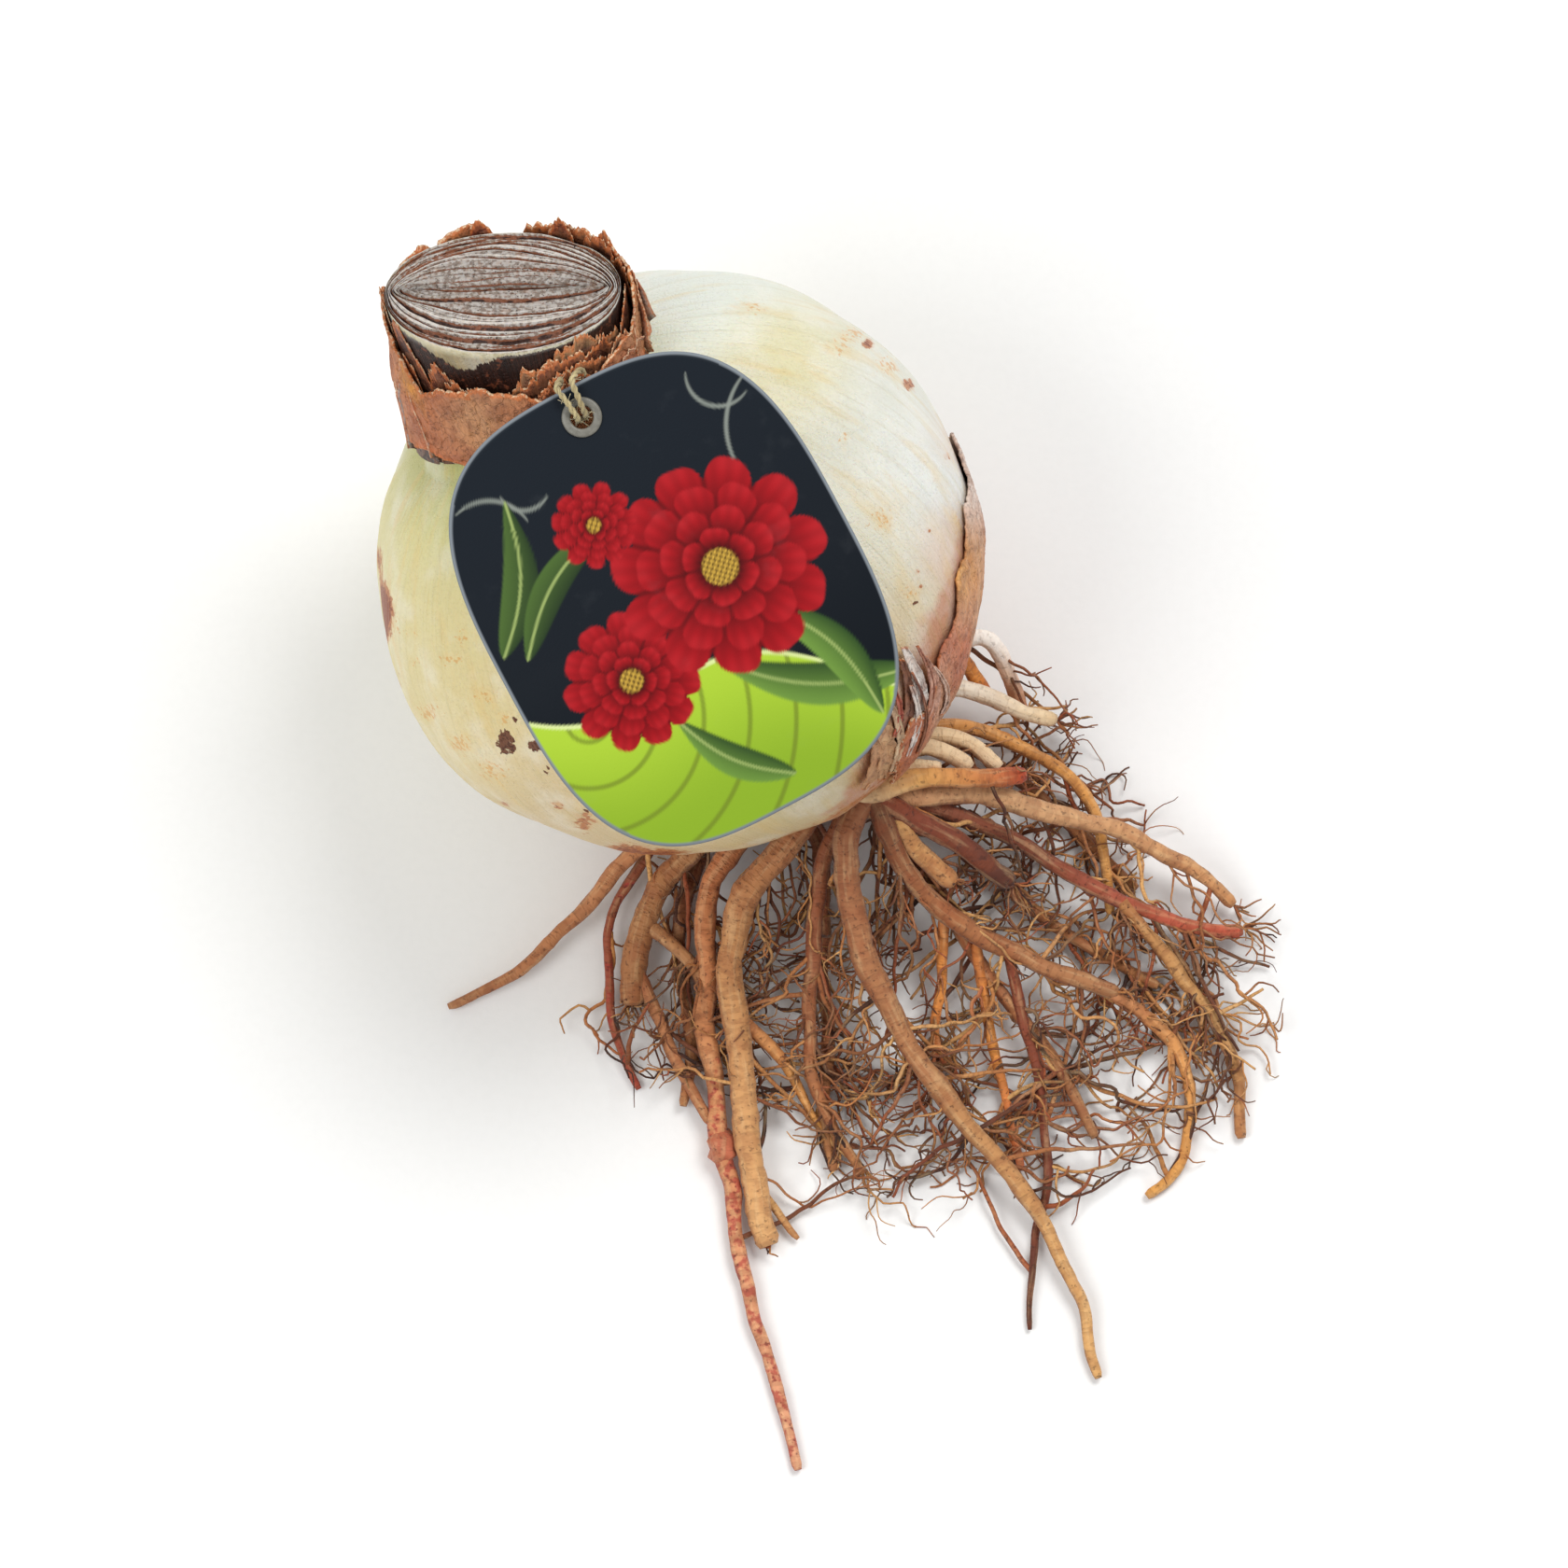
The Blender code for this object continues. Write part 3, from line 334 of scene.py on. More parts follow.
@dataclass(frozen=True)
class RootSkin(Finish):
    """Root skin: soft corky velvet over a fleshy root, wrinkled crosswise where it has dried."""

    def paint(self, tree: Tree) -> tuple[Socket, Socket, Socket | None]:
        """Lengthwise streaks, dark pits and crosswise wrinkles over the root's own colour."""
        tone = add(tree, "ShaderNodeAttribute", attribute_name="tone").outputs["Color"]
        along = add(tree, "ShaderNodeAttribute", attribute_name="strand").outputs["Vector"]
        place = add(tree, "ShaderNodeTexCoord").outputs["Object"]
        lengthwise = add(tree, "ShaderNodeMapping", {"Vector": along, "Scale": (1.0, 1.0, 0.12)}).outputs[0]
        crosswise = add(tree, "ShaderNodeMapping", {"Vector": along, "Scale": (0.35, 0.35, 1.0)}).outputs[0]
        streaks = patches(tree, lengthwise, 0.9, 0.47, 0.68, 3.0)
        wrinkles = patches(tree, crosswise, 0.8, 0.44, 0.62, 2.0)
        blotches = patches(tree, place, 3.0, 0.46, 0.66)
        pits = patches(tree, place, 0.7, 0.6, 0.7, 3.0)
        # Young white roots are clean, and stains show more the older and browner the skin is
        light = add(tree, "ShaderNodeRGBToBW", {"Color": tone}).outputs[0]
        levels = {"Value": light, "From Min": 0.35, "From Max": 0.75, "To Min": 1.0, "To Max": 0.25}
        aged = add(tree, "ShaderNodeMapRange", levels).outputs[0]
        spots = add(tree, "ShaderNodeAttribute", attribute_name="spots").outputs["Fac"]
        red = broken(tree, spots, place, 1.4, 1.44, 0.15)
        old = [add(tree, "ShaderNodeMath", {0: mask, 1: aged}, operation="MULTIPLY").outputs[0]
               for mask in (blotches, wrinkles, pits)]
        colour = layered(tree, tone, ("#EFCB96", streaks, 0.24), ("#B23A34", red, 0.75),
                         ("#8E4420", old[0], 0.34), ("#6A341C", old[1], 0.24), ("#3E1C12", old[2], 0.5))
        height = weighted(tree, (streaks, 0.35), (wrinkles, -0.5), (pits, -0.4), (blotches, 0.2))
        return colour, height, None


@dataclass(frozen=True)
class PrintedCard(Finish):
    """Coated paperboard: printed in solid inks under a thin varnish, which mirrors lamps softly."""

    def paint(self, tree: Tree) -> tuple[Socket, Socket, Socket | None]:
        """The print's own colours, with fine paper tooth and faint scuffs."""
        tone = add(tree, "ShaderNodeAttribute", attribute_name="tone").outputs["Color"]
        place = add(tree, "ShaderNodeTexCoord").outputs["Object"]
        tooth = patches(tree, place, 0.35, 0.3, 0.7, 2.0)
        scuffs = patches(tree, place, 6.0, 0.6, 0.75, 6.0)
        colour = stained(tree, tone, "#8A8F94", scuffs, 0.02)
        gloss = add(tree, "ShaderNodeMapRange", {"Value": scuffs, "To Min": self.roughness, "To Max": 0.55})
        return colour, weighted(tree, (tooth, 0.3)), gloss.outputs[0]


@dataclass(frozen=True)
class Plain(Finish):
    """Raw paperboard, moulded plastic or a painted board: one colour with fine grain and faint clouds."""

    code: str = "#FFFFFF"
    shade: str = "#808080"
    grain: float = 0.5
    strength: float = 0.1

    def paint(self, tree: Tree) -> tuple[Socket, Socket, Socket | None]:
        """The colour with its grain and clouds."""
        place = add(tree, "ShaderNodeTexCoord").outputs["Object"]
        grain = patches(tree, place, self.grain, 0.35, 0.7, 3.0)
        clouds = patches(tree, place, self.grain * 12, 0.4, 0.7)
        colour = layered(tree, linear(self.code), (self.shade, grain, self.strength),
                         (self.shade, clouds, self.strength * 0.6))
        return colour, weighted(tree, (grain, 1.0)), None


@dataclass(frozen=True)
class JuteYarn(Finish):
    """Jute yarn: dull straw-coloured bast fibres, spun hard, with darker fibres among them."""

    def paint(self, tree: Tree) -> tuple[Socket, Socket, Socket | None]:
        """Fibres along each ply, light and dark."""
        tone = add(tree, "ShaderNodeAttribute", attribute_name="tone").outputs["Color"]
        along = add(tree, "ShaderNodeAttribute", attribute_name="strand").outputs["Vector"]
        drawn = add(tree, "ShaderNodeMapping", {"Vector": along, "Scale": (1.0, 1.0, 0.15)}).outputs[0]
        fibres = patches(tree, drawn, 0.16, 0.35, 0.65, 2.0)
        colour = stained(tree, tone, "#7E6C40", fibres, 0.4)
        return colour, weighted(tree, (fibres, 1.0)), None


class SubAssembly:
    """Anything that ends up as pieces of the part."""

    def settle(self, name: str, mesh: Bush, finishes: Sequence[Finish], slot: str,
               stands_for: Sequence[str] = ()) -> bpy.types.Object:
        """Makes a mesh a piece that rides on the body.

        Args:
            name: Name of the piece.
            mesh: Its shape, in place. It is freed.
            finishes: Finish of each material index.
            slot: Material slot in the record; not used.
            stands_for: Nodes of the frame that the piece replaces.

        Returns:
            The new object.
        """
        data = bpy.data.meshes.new(name)
        mesh.to_mesh(data)
        mesh.free()
        data.shade_smooth()
        piece = bpy.data.objects.new(name, data)
        bpy.context.scene.collection.objects.link(piece)
        for finish in finishes:
            data.materials.append(finish.material())
        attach(piece, "root")
        if stands_for:
            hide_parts(*stands_for)
        LOG.info("%s: %d faces, stands for %s", name, len(data.polygons), ", ".join(stands_for) or "nothing")
        return piece

    def thicken(self, piece: bpy.types.Object, thickness: float) -> bpy.types.Modifier:
        """Gives a sheet a wall, half of it on each side, and returns the modifier that does it."""
        wall = piece.modifiers.new("wall", "SOLIDIFY")
        wall.thickness, wall.offset = thickness, 0.0
        return wall


def direction(heading: float, elevation: float) -> Vector:
    """Unit vector with this heading from +X and this elevation, both in degrees."""
    turn, rise = math.radians(heading), math.radians(elevation)
    return Vector((math.cos(rise) * math.cos(turn), math.cos(rise) * math.sin(turn), math.sin(rise)))


class Mark(Enum):
    """What a mark on the bulb's skin is."""

    BLUSH = "blush"
    RUST = "rust"
    SCAB = "scab"


# Marks of each kind: x and y in mm across and up from the body's middle as the camera sees it, then
# their reach across and up
MARKS: dict[Mark, tuple] = {
    Mark.BLUSH: (
        (-42.6, -9.0, 1.6, 4.0), (-39.9, -10.2, 1.1, 1.0), (-33.8, -14.1, 2.2, 1.1),
        (-39.5, -14.5, 1.6, 1.3), (-32.5, -10.6, 1.6, 1.2), (-43.2, -22.0, 1.2, 1.8),
        (-28.9, -19.5, 2.4, 1.8), (-37.7, -22.0, 2.0, 1.6), (-41.0, -26.4, 1.5, 2.0),
        (-25.9, -23.2, 1.5, 2.4), (-33.0, -27.0, 3.0, 2.0), (-28.0, -31.0, 4.0, 2.4),
        (-12.0, -36.0, 5.0, 3.0), (27.3, 35.9, 3.0, 2.4), (33.0, 31.0, 3.0, 2.4), (26.0, 19.6, 3.4, 2.2),
        (24.4, 33.0, 2.4, 2.0), (32.0, 7.0, 3.6, 2.6), (36.0, -4.0, 3.0, 4.0), (43.0, 20.0, 2.0, 5.0),
        (43.6, 6.0, 2.2, 6.0), (12.0, 40.0, 3.0, 2.0)),
    Mark.RUST: (
        (-45.9, 1.5, 1.2, 3.0), (-45.2, -4.0, 1.6, 3.0), (-45.4, -10.5, 1.4, 3.6), (-44.2, -7.0, 1.6, 3.4),
        (-43.4, -17.5, 1.2, 2.4), (-33.0, -35.0, 3.6, 1.5), (-38.0, -29.6, 2.0, 1.2),
        (-22.0, -40.0, 3.6, 1.6), (-14.0, -39.0, 2.4, 2.0), (-8.0, -43.4, 4.0, 1.8), (-1.0, -44.4, 4.0, 1.6),
        (-18.0, -36.4, 1.2, 1.0), (-26.4, -36.4, 1.4, 1.0), (29.5, 34.6, 1.2, 1.0), (35.9, 28.4, 1.6, 1.2),
        (39.0, 5.6, 0.7, 0.7), (41.7, 17.2, 0.7, 0.8), (37.2, -0.4, 0.6, 0.6), (37.5, -3.0, 0.6, 0.6),
        (45.8, 12.0, 1.0, 4.0), (45.0, 4.0, 1.4, 4.0)),
    Mark.SCAB: (
        (-25.9, -26.8, 2.0, 2.7), (-21.3, -27.4, 1.2, 1.3), (-19.5, -31.0, 0.6, 1.0),
        (-24.2, -23.2, 0.5, 0.7), (-13.6, -37.4, 0.7, 0.6), (36.8, -5.4, 0.5, 0.5))}


@dataclass
class Bulb(SubAssembly):
    """The bulb: a ribbed round body and the neck's core, cut across its nested leaf bases."""

    radius: float = 46.0 * MM
    height: float = 45.2 * MM
    lean: tuple[float, float] = (135.3, 46.6)
    bottom: float = -40.0 * MM
    ribs: tuple[int, float] = (14, 0.3 * MM)
    flattening: tuple[float, float] = (2.0 * MM, 0.16)
    flat_way: tuple[float, float, float] = (-0.05, -0.978, -0.2)
    swell: tuple[float, float] = (0.9 * MM, 0.3)
    swell_way: tuple[float, float, float] = (0.75, 0.6, 0.28)
    neck_lean: tuple[float, float] = (110.0, 58.3)
    neck_length: float = 20.0 * MM
    neck_half: tuple[float, float] = (18.0 * MM, 12.0 * MM)
    face_turn: float = -4.0
    face_slant: float = 1.5 * MM
    foot_widening: tuple[float, float] = (1.0 * MM, 0.6 * MM)
    foot_flare: float = 2.8 * MM
    foot_rise: float = 2.5 * MM
    # The neck's foot is drawn in on its right: turn and spread in degrees, and depth
    waist: tuple[float, float, float] = (-8.0, 48.0, 2.6 * MM)
    shoulder_polar: float = 36.0
    face_dome: float = 0.8 * MM
    # Seams between nested leaf bases: share of the face's depth in front and behind, their waver, and width
    seams: tuple = (
        (0.03, 0.05, 0.02, 1.2), (0.15, 0.2, 0.05, 0.5), (0.27, 0.34, 0.06, 1.3), (0.38, 0.42, 0.06, 0.5),
        (0.48, 0.56, 0.06, 1.0), (0.57, 0.66, 0.05, 0.6), (0.66, 0.74, 0.05, 1.5), (0.75, 0.81, 0.03, 0.6),
        (0.83, 0.88, 0.02, 1.2), (0.89, 0.93, 0.015, 0.6), (0.94, 0.965, 0.01, 1.1))
    groove: float = 0.6 * MM
    lens: float = 0.14
    pinch: float = 0.7
    columns: int = 240
    rings: tuple[int, int, int, int, int] = (96, 22, 10, 90, 5)
    view_elevation: float = 78.0
    # Broad tones, in the same measure as the marks: x, y, reach, code. Besides the scale's own colours, they
    # hold a bluish-white painted highlight at the upper right and painted olive shade left of the neck
    tone_and_light_zones: tuple = (
        (-42, 6, 28, "#DED69C"), (-30, -24, 26, "#E2D09A"), (-18, -40, 14, "#D4BC92"),
        (-33, 17, 9, "#A7AA5C"), (-30, 9, 8, "#C9C98A"), (-8, 24, 12, "#C6C688"), (2, 42, 16, "#E6EADF"),
        (16, 30, 9, "#E2D9A8"), (32, 22, 18, "#DFDFD2"), (41, 14, 10, "#E9EDEC"), (30, 6, 12, "#E3DEC8"),
        (45, 20, 5, "#DDC2AE"), (44, 4, 6, "#D8B49C"), (34, -14, 10, "#D9C49C"))

    def __post_init__(self) -> None:
        """Works out the frame of the leaning bulb and of its bent neck."""
        self.centre = Vector((0, 0, self.height))
        self.axis = direction(*self.lean)
        neck = direction(*self.neck_lean)
        wide = (Vector((1, 0, 0)) - neck * neck.x).normalized()
        side = (wide - self.axis * wide.dot(self.axis)).normalized()
        self.turned = Matrix((side, self.axis.cross(side), self.axis)).transposed()
        back = self.turned.transposed()
        self.neck, self.wide = back @ neck, back @ wide
        self.deep = self.neck.cross(self.wide)
        slewed = math.radians(self.face_turn)
        self.face_wide = self.wide * math.cos(slewed) + self.deep * math.sin(slewed)
        self.face_deep = self.neck.cross(self.face_wide)
        self.face_centre = Vector((0, 0, self.radius)) + self.neck * self.neck_length
        self.flat_side = back @ Vector(self.flat_way).normalized()
        self.swell_side = back @ Vector(self.swell_way).normalized()
        rise = math.radians(self.view_elevation)
        self.up_seen = Vector((0, math.sin(rise), math.cos(rise)))
        self.near_seen = Vector((0, -math.cos(rise), math.sin(rise)))

    def placed(self, point: Vector) -> Vector:
        """A point of the bulb's own frame, in the part's frame."""
        return self.centre + self.turned @ point

    def seen(self, point: Vector) -> tuple[float, float, float]:
        """Where the camera sees a point: mm across, up and nearer than the body's middle."""
        off = (point - self.centre) / MM
        return off.x, off.dot(self.up_seen), off.dot(self.near_seen)

    def facing(self, across: float, up: float, height: float) -> Vector:
        """Point this high over the body, at a place in mm across and up as the camera sees it."""
        reach = (self.radius + height) / MM
        near = math.sqrt(max(0.0, reach ** 2 - across ** 2 - up ** 2))
        away = Vector((across, 0, 0)) + self.up_seen * up + self.near_seen * near
        return self.centre + away * MM

    def body_point(self, polar: float, turn: float) -> Vector:
        """Point of the body's skin, at a polar angle from the axis and a turn round it, in radians."""
        way = Vector((math.sin(polar) * math.cos(turn), math.sin(polar) * math.sin(turn), math.cos(polar)))
        count, relief = self.ribs
        ribs = relief * math.cos(count * turn + 1.3 * math.sin(2 * polar)) * math.sin(polar) ** 2
        flat = self.flattening[0] * math.exp(-((1 - way.dot(self.flat_side)) / self.flattening[1]) ** 2)
        swell = self.swell[0] * math.exp(-((1 - way.dot(self.swell_side)) / self.swell[1]) ** 2)
        return way * (self.radius + ribs - flat + swell)

    def foot_polar(self, flare: float, turn: float) -> float:
        """Polar angle at which the neck's oval, widened by a flare, meets the body."""
        half_width = self.neck_half[0] + self.foot_widening[0] + flare
        half_depth = self.neck_half[1] + self.foot_widening[1] + flare
        oval = half_width * half_depth / math.hypot(half_depth * math.cos(turn), half_width * math.sin(turn))
        return math.asin(oval / self.radius)

    def face_rim(self, turn: float) -> Vector:
        """Point of the cut face's outer edge."""
        across = self.face_wide * self.neck_half[0] * math.cos(turn)
        return self.face_centre + across + self.face_deep * self.neck_half[1] * math.sin(turn)

    def skin_point(self, turn: float, rise: float) -> Vector:
        """Point of the shoulder (rise -1 to 0) or of the neck's wall (rise 0 to 1)."""
        at, spread, depth = self.waist
        drawn_in = depth * math.exp(-(apart(turn, at) / spread) ** 2)
        foot = self.foot_polar(self.foot_flare - drawn_in, turn)
        if rise <= 0:
            return self.body_point(foot - rise * (math.radians(self.shoulder_polar) - foot), turn)
        low = self.body_point(foot, turn)
        bend = self.body_point(self.foot_polar(-drawn_in, turn), turn) + self.neck * self.foot_rise
        back = 1 - rise
        return low * back * back + bend * 2 * rise * back + self.face_rim(turn) * rise * rise

    def seam_near(self, turn: float, share: float) -> tuple[float, int]:
        """How near the closest seam is, in mm of the face's depth, and how many lie inside the point."""
        nearest, inside = 9.0, 0
        for number, (front, behind, waver, width) in enumerate(self.seams):
            level = front + (behind - front) * (0.5 + 0.5 * math.sin(turn))
            level += waver * (math.sin(2 * turn + 0.7 * number) + 0.35 * math.sin(5 * turn + number))
            level += 0.012 * noise.noise(round_way(turn, number / 5) * 5)
            inside += share > level
            nearest = min(nearest, abs(share - level) * self.neck_half[1] / MM / width)
        return nearest, inside

    def face_point(self, turn: float, share: float) -> tuple[Vector, float, float]:
        """Point of the cut face, with how much of a seam and of a pale rim it is."""
        off_seam, layer = self.seam_near(turn, share)
        width = 0.16 + 0.1 * noise.noise(round_way(turn, layer / 3) * 3)
        seam = 1 - eased(off_seam, width * 0.6, width * 2.4)
        rim = eased(off_seam, 0.3, 0.45) * (1 - eased(off_seam, 0.5, 0.8)) * eased(share, 0.2, 0.6)
        step = random.Random(layer + 40).uniform(-0.3, 0.25) * MM * (1 - eased(share, 0.9, 1.0))
        front = max(0.0, math.sin(-turn)) * eased(share, 0.7, 1.0)
        lift = self.face_dome * (1 - share ** 2) - self.groove * seam + step - 1.3 * MM * front
        lift += 0.12 * MM * noise.noise(round_way(turn) * share * 9)
        lift -= self.face_slant * share ** self.lens * math.cos(turn)
        across = math.copysign(abs(math.sin(turn)) ** (1 + self.pinch * (1 - share)), math.sin(turn))
        wide = self.face_wide * self.neck_half[0] * share ** self.lens * math.cos(turn)
        deep = self.face_deep * self.neck_half[1] * share * across
        return self.face_centre + wide + deep + self.neck * lift, seam, rim

    def raised(self, turn: float, rise: float, height: float) -> Vector:
        """Point this high above the shoulder or the neck's wall."""
        step = 0.01
        along = self.skin_point(turn + step, rise) - self.skin_point(turn - step, rise)
        up = self.skin_point(turn, rise + step) - self.skin_point(turn, rise - step)
        return self.skin_point(turn, rise) + along.cross(up).normalized() * height

    def above_body(self, polar: float, turn: float, height: float) -> Vector:
        """Point this high above the body's skin, at angles in radians."""
        step = 0.01
        along = self.body_point(polar, turn + step) - self.body_point(polar, turn - step)
        up = self.body_point(polar - step, turn) - self.body_point(polar + step, turn)
        return self.body_point(polar, turn) + along.cross(up).normalized() * height

    def tone_at(self, point: Vector, polar: float) -> Colour:
        """Broad colour of the fresh scale: white, green at the shoulder, straw and tan to the root end, with
        a painted highlight at the upper right and painted shade left of the neck.
        """
        across, up, near = self.seen(point)
        total, weight = Vector((0.0, 0.0, 0.0, 0.0)), 0.0
        for x, y, reach, code in self.tone_and_light_zones:
            share = math.exp(-((across - x) ** 2 + (up - y) ** 2) / (reach * 0.8) ** 2) / reach + 1e-5
            total, weight = total + Vector(linear(code)) * share, weight + share
        tone = blended(tuple(total / weight), linear("#DDD4AE"), 1 - eased(near, -24, -4))
        tone = blended(tone, linear("#C9A878"), eased(polar, 1.9, 2.4) * 0.5)
        # The skin has dried tan and pink right of a line that slants down to the roots
        dried = 0.9 * (across - 43.2) - 0.44 * (up - 2.3) + 1.5 * noise.noise(point / (3 * MM))
        tone = blended(tone, linear("#C4805E"), eased(dried, -0.8, 1.6) * eased(near, -8, 0) * 0.85)
        return blended(tone, linear("#8E5A3C"), eased(polar, 2.35, 2.6) * 0.8)

    def grow(self) -> Bush:
        """One closed skin over face, neck, shoulder, body and bottom, with a flat spot where it rests."""
        mesh = bmesh.new()
        tone = mesh.verts.layers.float_color.new("tone")
        fibre = mesh.verts.layers.float_vector.new("fibre")
        names = ("blush", "rust", "scab", "husk_and_shade", "cut", "seam", "rim")
        masks = {name: mesh.verts.layers.float.new(name) for name in names}
        face, wall, shoulder, body, under = self.rings
        low = math.acos(self.bottom / self.radius)
        top = math.radians(self.shoulder_polar)
        bmesh.ops.create_grid(mesh, x_segments=self.columns, y_segments=sum(self.rings), size=1.0)
        for vert in mesh.verts:
            turn = math.pi * (vert.co.x + 1)
            ring = round((vert.co.y + 1) / 2 * sum(self.rings))
            cut = seam = rim = husk_and_shade = tan = 0.0
            polar = top
            if ring <= face:
                point, seam, rim = self.face_point(turn, (ring / face) ** 0.8)
                cut, polar = 1.0 if ring < face else 0.6, 0.0
            elif ring <= face + wall:
                rise = 1 - (ring - face) / wall
                start, _, _ = self.face_point(turn, 1.0)
                point = self.skin_point(turn, rise)
                point += (start - self.face_rim(turn)) * rise ** 6
                cut, rim, polar = 0.85 * eased(rise, 0.96, 0.985), eased(rise, 0.92, 0.98), 0.35 - rise * 0.3
                # The husk mask paints the neck's wall near-black, as painted shade in the gap inside the
                # collar
                husk_and_shade, tan = self.husk_and_shade_at(turn, rise), eased(rise, 0.5, 0.7)
            elif ring <= face + wall + shoulder:
                point = self.skin_point(turn, -(ring - face - wall) / shoulder)
            else:
                share = (ring - face - wall - shoulder) / body
                polar = top + (low - top) * min(1.0, share)
                point = self.body_point(polar, turn)
                if share > 1:
                    point = self.body_point(low, turn) * (1 - (share - 1) * body / under)
                point.z = max(point.z, self.bottom) if share <= 1 else self.bottom
            if ring > face + wall:
                dent = noise.fractal(point / (11 * MM), 0.8, 2.0, 3) * 0.16 * MM
                point += point.normalized() * dent
            place = self.placed(point)
            place.z = max(0.0, place.z)
            vert.co = place
            vert[tone] = blended(self.tone_at(place, polar), linear("#8E7C5C"), 0.9 * tan)
            vert[fibre] = round_way(turn, polar * 0.07) * self.radius
            marks = self.marks_at(place, polar)
            for name, value in {**marks, "husk_and_shade": husk_and_shade, "cut": cut, "seam": seam, "rim": rim}.items():
                vert[masks[name]] = value
        close(mesh)
        return mesh

    def marks_at(self, place: Vector, polar: float) -> dict[str, float]:
        """How much blush, rust and scab there is at a point of the skin."""
        across, up, near = self.seen(place)
        drift = 0.14 * noise.noise(place / (12 * MM))
        found = {"blush": 0.24 + drift + 0.1 * eased(-across, 10, 40), "scab": 0.0,
                 "rust": 0.14 + drift + 0.4 * eased(polar, 1.9, 2.4)}
        strength = {Mark.BLUSH: 0.36, Mark.RUST: 0.62, Mark.SCAB: 0.85}
        # Marks near the outline end where the skin turns away from the side they are seen from
        facing = eased(near + 60 * drift, -7, 4)
        for kind, places in MARKS.items() if facing else ():
            for x, y, wide, high in places:
                off = ((across - x) / wide) ** 2 + ((up - y) / high) ** 2
                if off < 6:
                    found[kind.value] += facing * strength[kind] * math.exp(-off)
        return {name: min(1.0, max(0.0, value)) for name, value in found.items()}

    def husk_and_shade_at(self, turn: float, rise: float) -> float:
        """How much of the neck's wall is dark husk, withered and painted near-black as shade inside the
        collar: all but its green foot, a tongue of flesh in front and the rim.
        """
        tongue = eased(rise - 0.87 - 0.1 * abs(apart(turn, -112)) / 22, -0.03, 0.03)
        foot = 0.3 + sum(high * math.exp(-(apart(turn, at) / wide) ** 2)
                         for at, wide, high in ((-5, 38, 0.36), (-162, 36, 0.2)))
        return (1 - tongue) * (1 - eased(rise, 0.965, 0.985)) * eased(rise, foot, foot + 0.08)

    def build(self) -> None:
        """Grows and dresses the bulb."""
        # Moist plant flesh is waxy, near 0.4 rough, and lets a little light into its skin
        finish = BulbScale("fresh bulb scale", roughness=0.42, ior=1.4, relief=0.25, flesh_depth=1.6)
        self.settle("bulb_scales", self.grow(), [finish], "bulb_flesh", ["bulb"])


@dataclass
class TornSheet:
    """A papery sheet, drawn as a grid of points with fibre, tear and tone at each."""

    steps: int
    rows: int
    place: Callable[[float, float], tuple[Vector, Vector, float, Colour]]

    def grow(self) -> Bush:
        """The sheet without its thickness, closed where its ends meet."""
        mesh = bmesh.new()
        tone = mesh.verts.layers.float_color.new("tone")
        fibre = mesh.verts.layers.float_vector.new("fibre")
        tear = mesh.verts.layers.float.new("tear")
        bmesh.ops.create_grid(mesh, x_segments=self.steps, y_segments=self.rows, size=1.0)
        for vert in mesh.verts:
            across, climb = (vert.co.x + 1) / 2, (vert.co.y + 1) / 2
            vert.co, vert[fibre], vert[tear], vert[tone] = self.place(across, climb)
        close(mesh)
        return mesh


def close(mesh: Bush, apart_by: float = 0.001) -> None:
    """Joins points nearer than this in mm and turns the faces outwards."""
    bmesh.ops.remove_doubles(mesh, verts=mesh.verts, dist=apart_by * MM)
    bmesh.ops.recalc_face_normals(mesh, faces=mesh.faces)


def turn_profile(mesh: Bush, steps: int) -> None:
    """Turns a profile round the Z axis and closes it."""
    bmesh.ops.spin(mesh, geom=mesh.verts[:] + mesh.edges[:], cent=(0, 0, 0), axis=(0, 0, 1),
                   angle=FULL_TURN, steps=steps, use_merge=True)
    close(mesh)


def merged(meshes: Sequence[Bush]) -> Bush:
    """Several bmeshes with like layers as one. The given ones are freed."""
    whole = bmesh.new()
    for mesh in meshes:
        spare = bpy.data.meshes.new("spare")
        mesh.to_mesh(spare)
        mesh.free()
        whole.from_mesh(spare)
        bpy.data.meshes.remove(spare)
    return whole


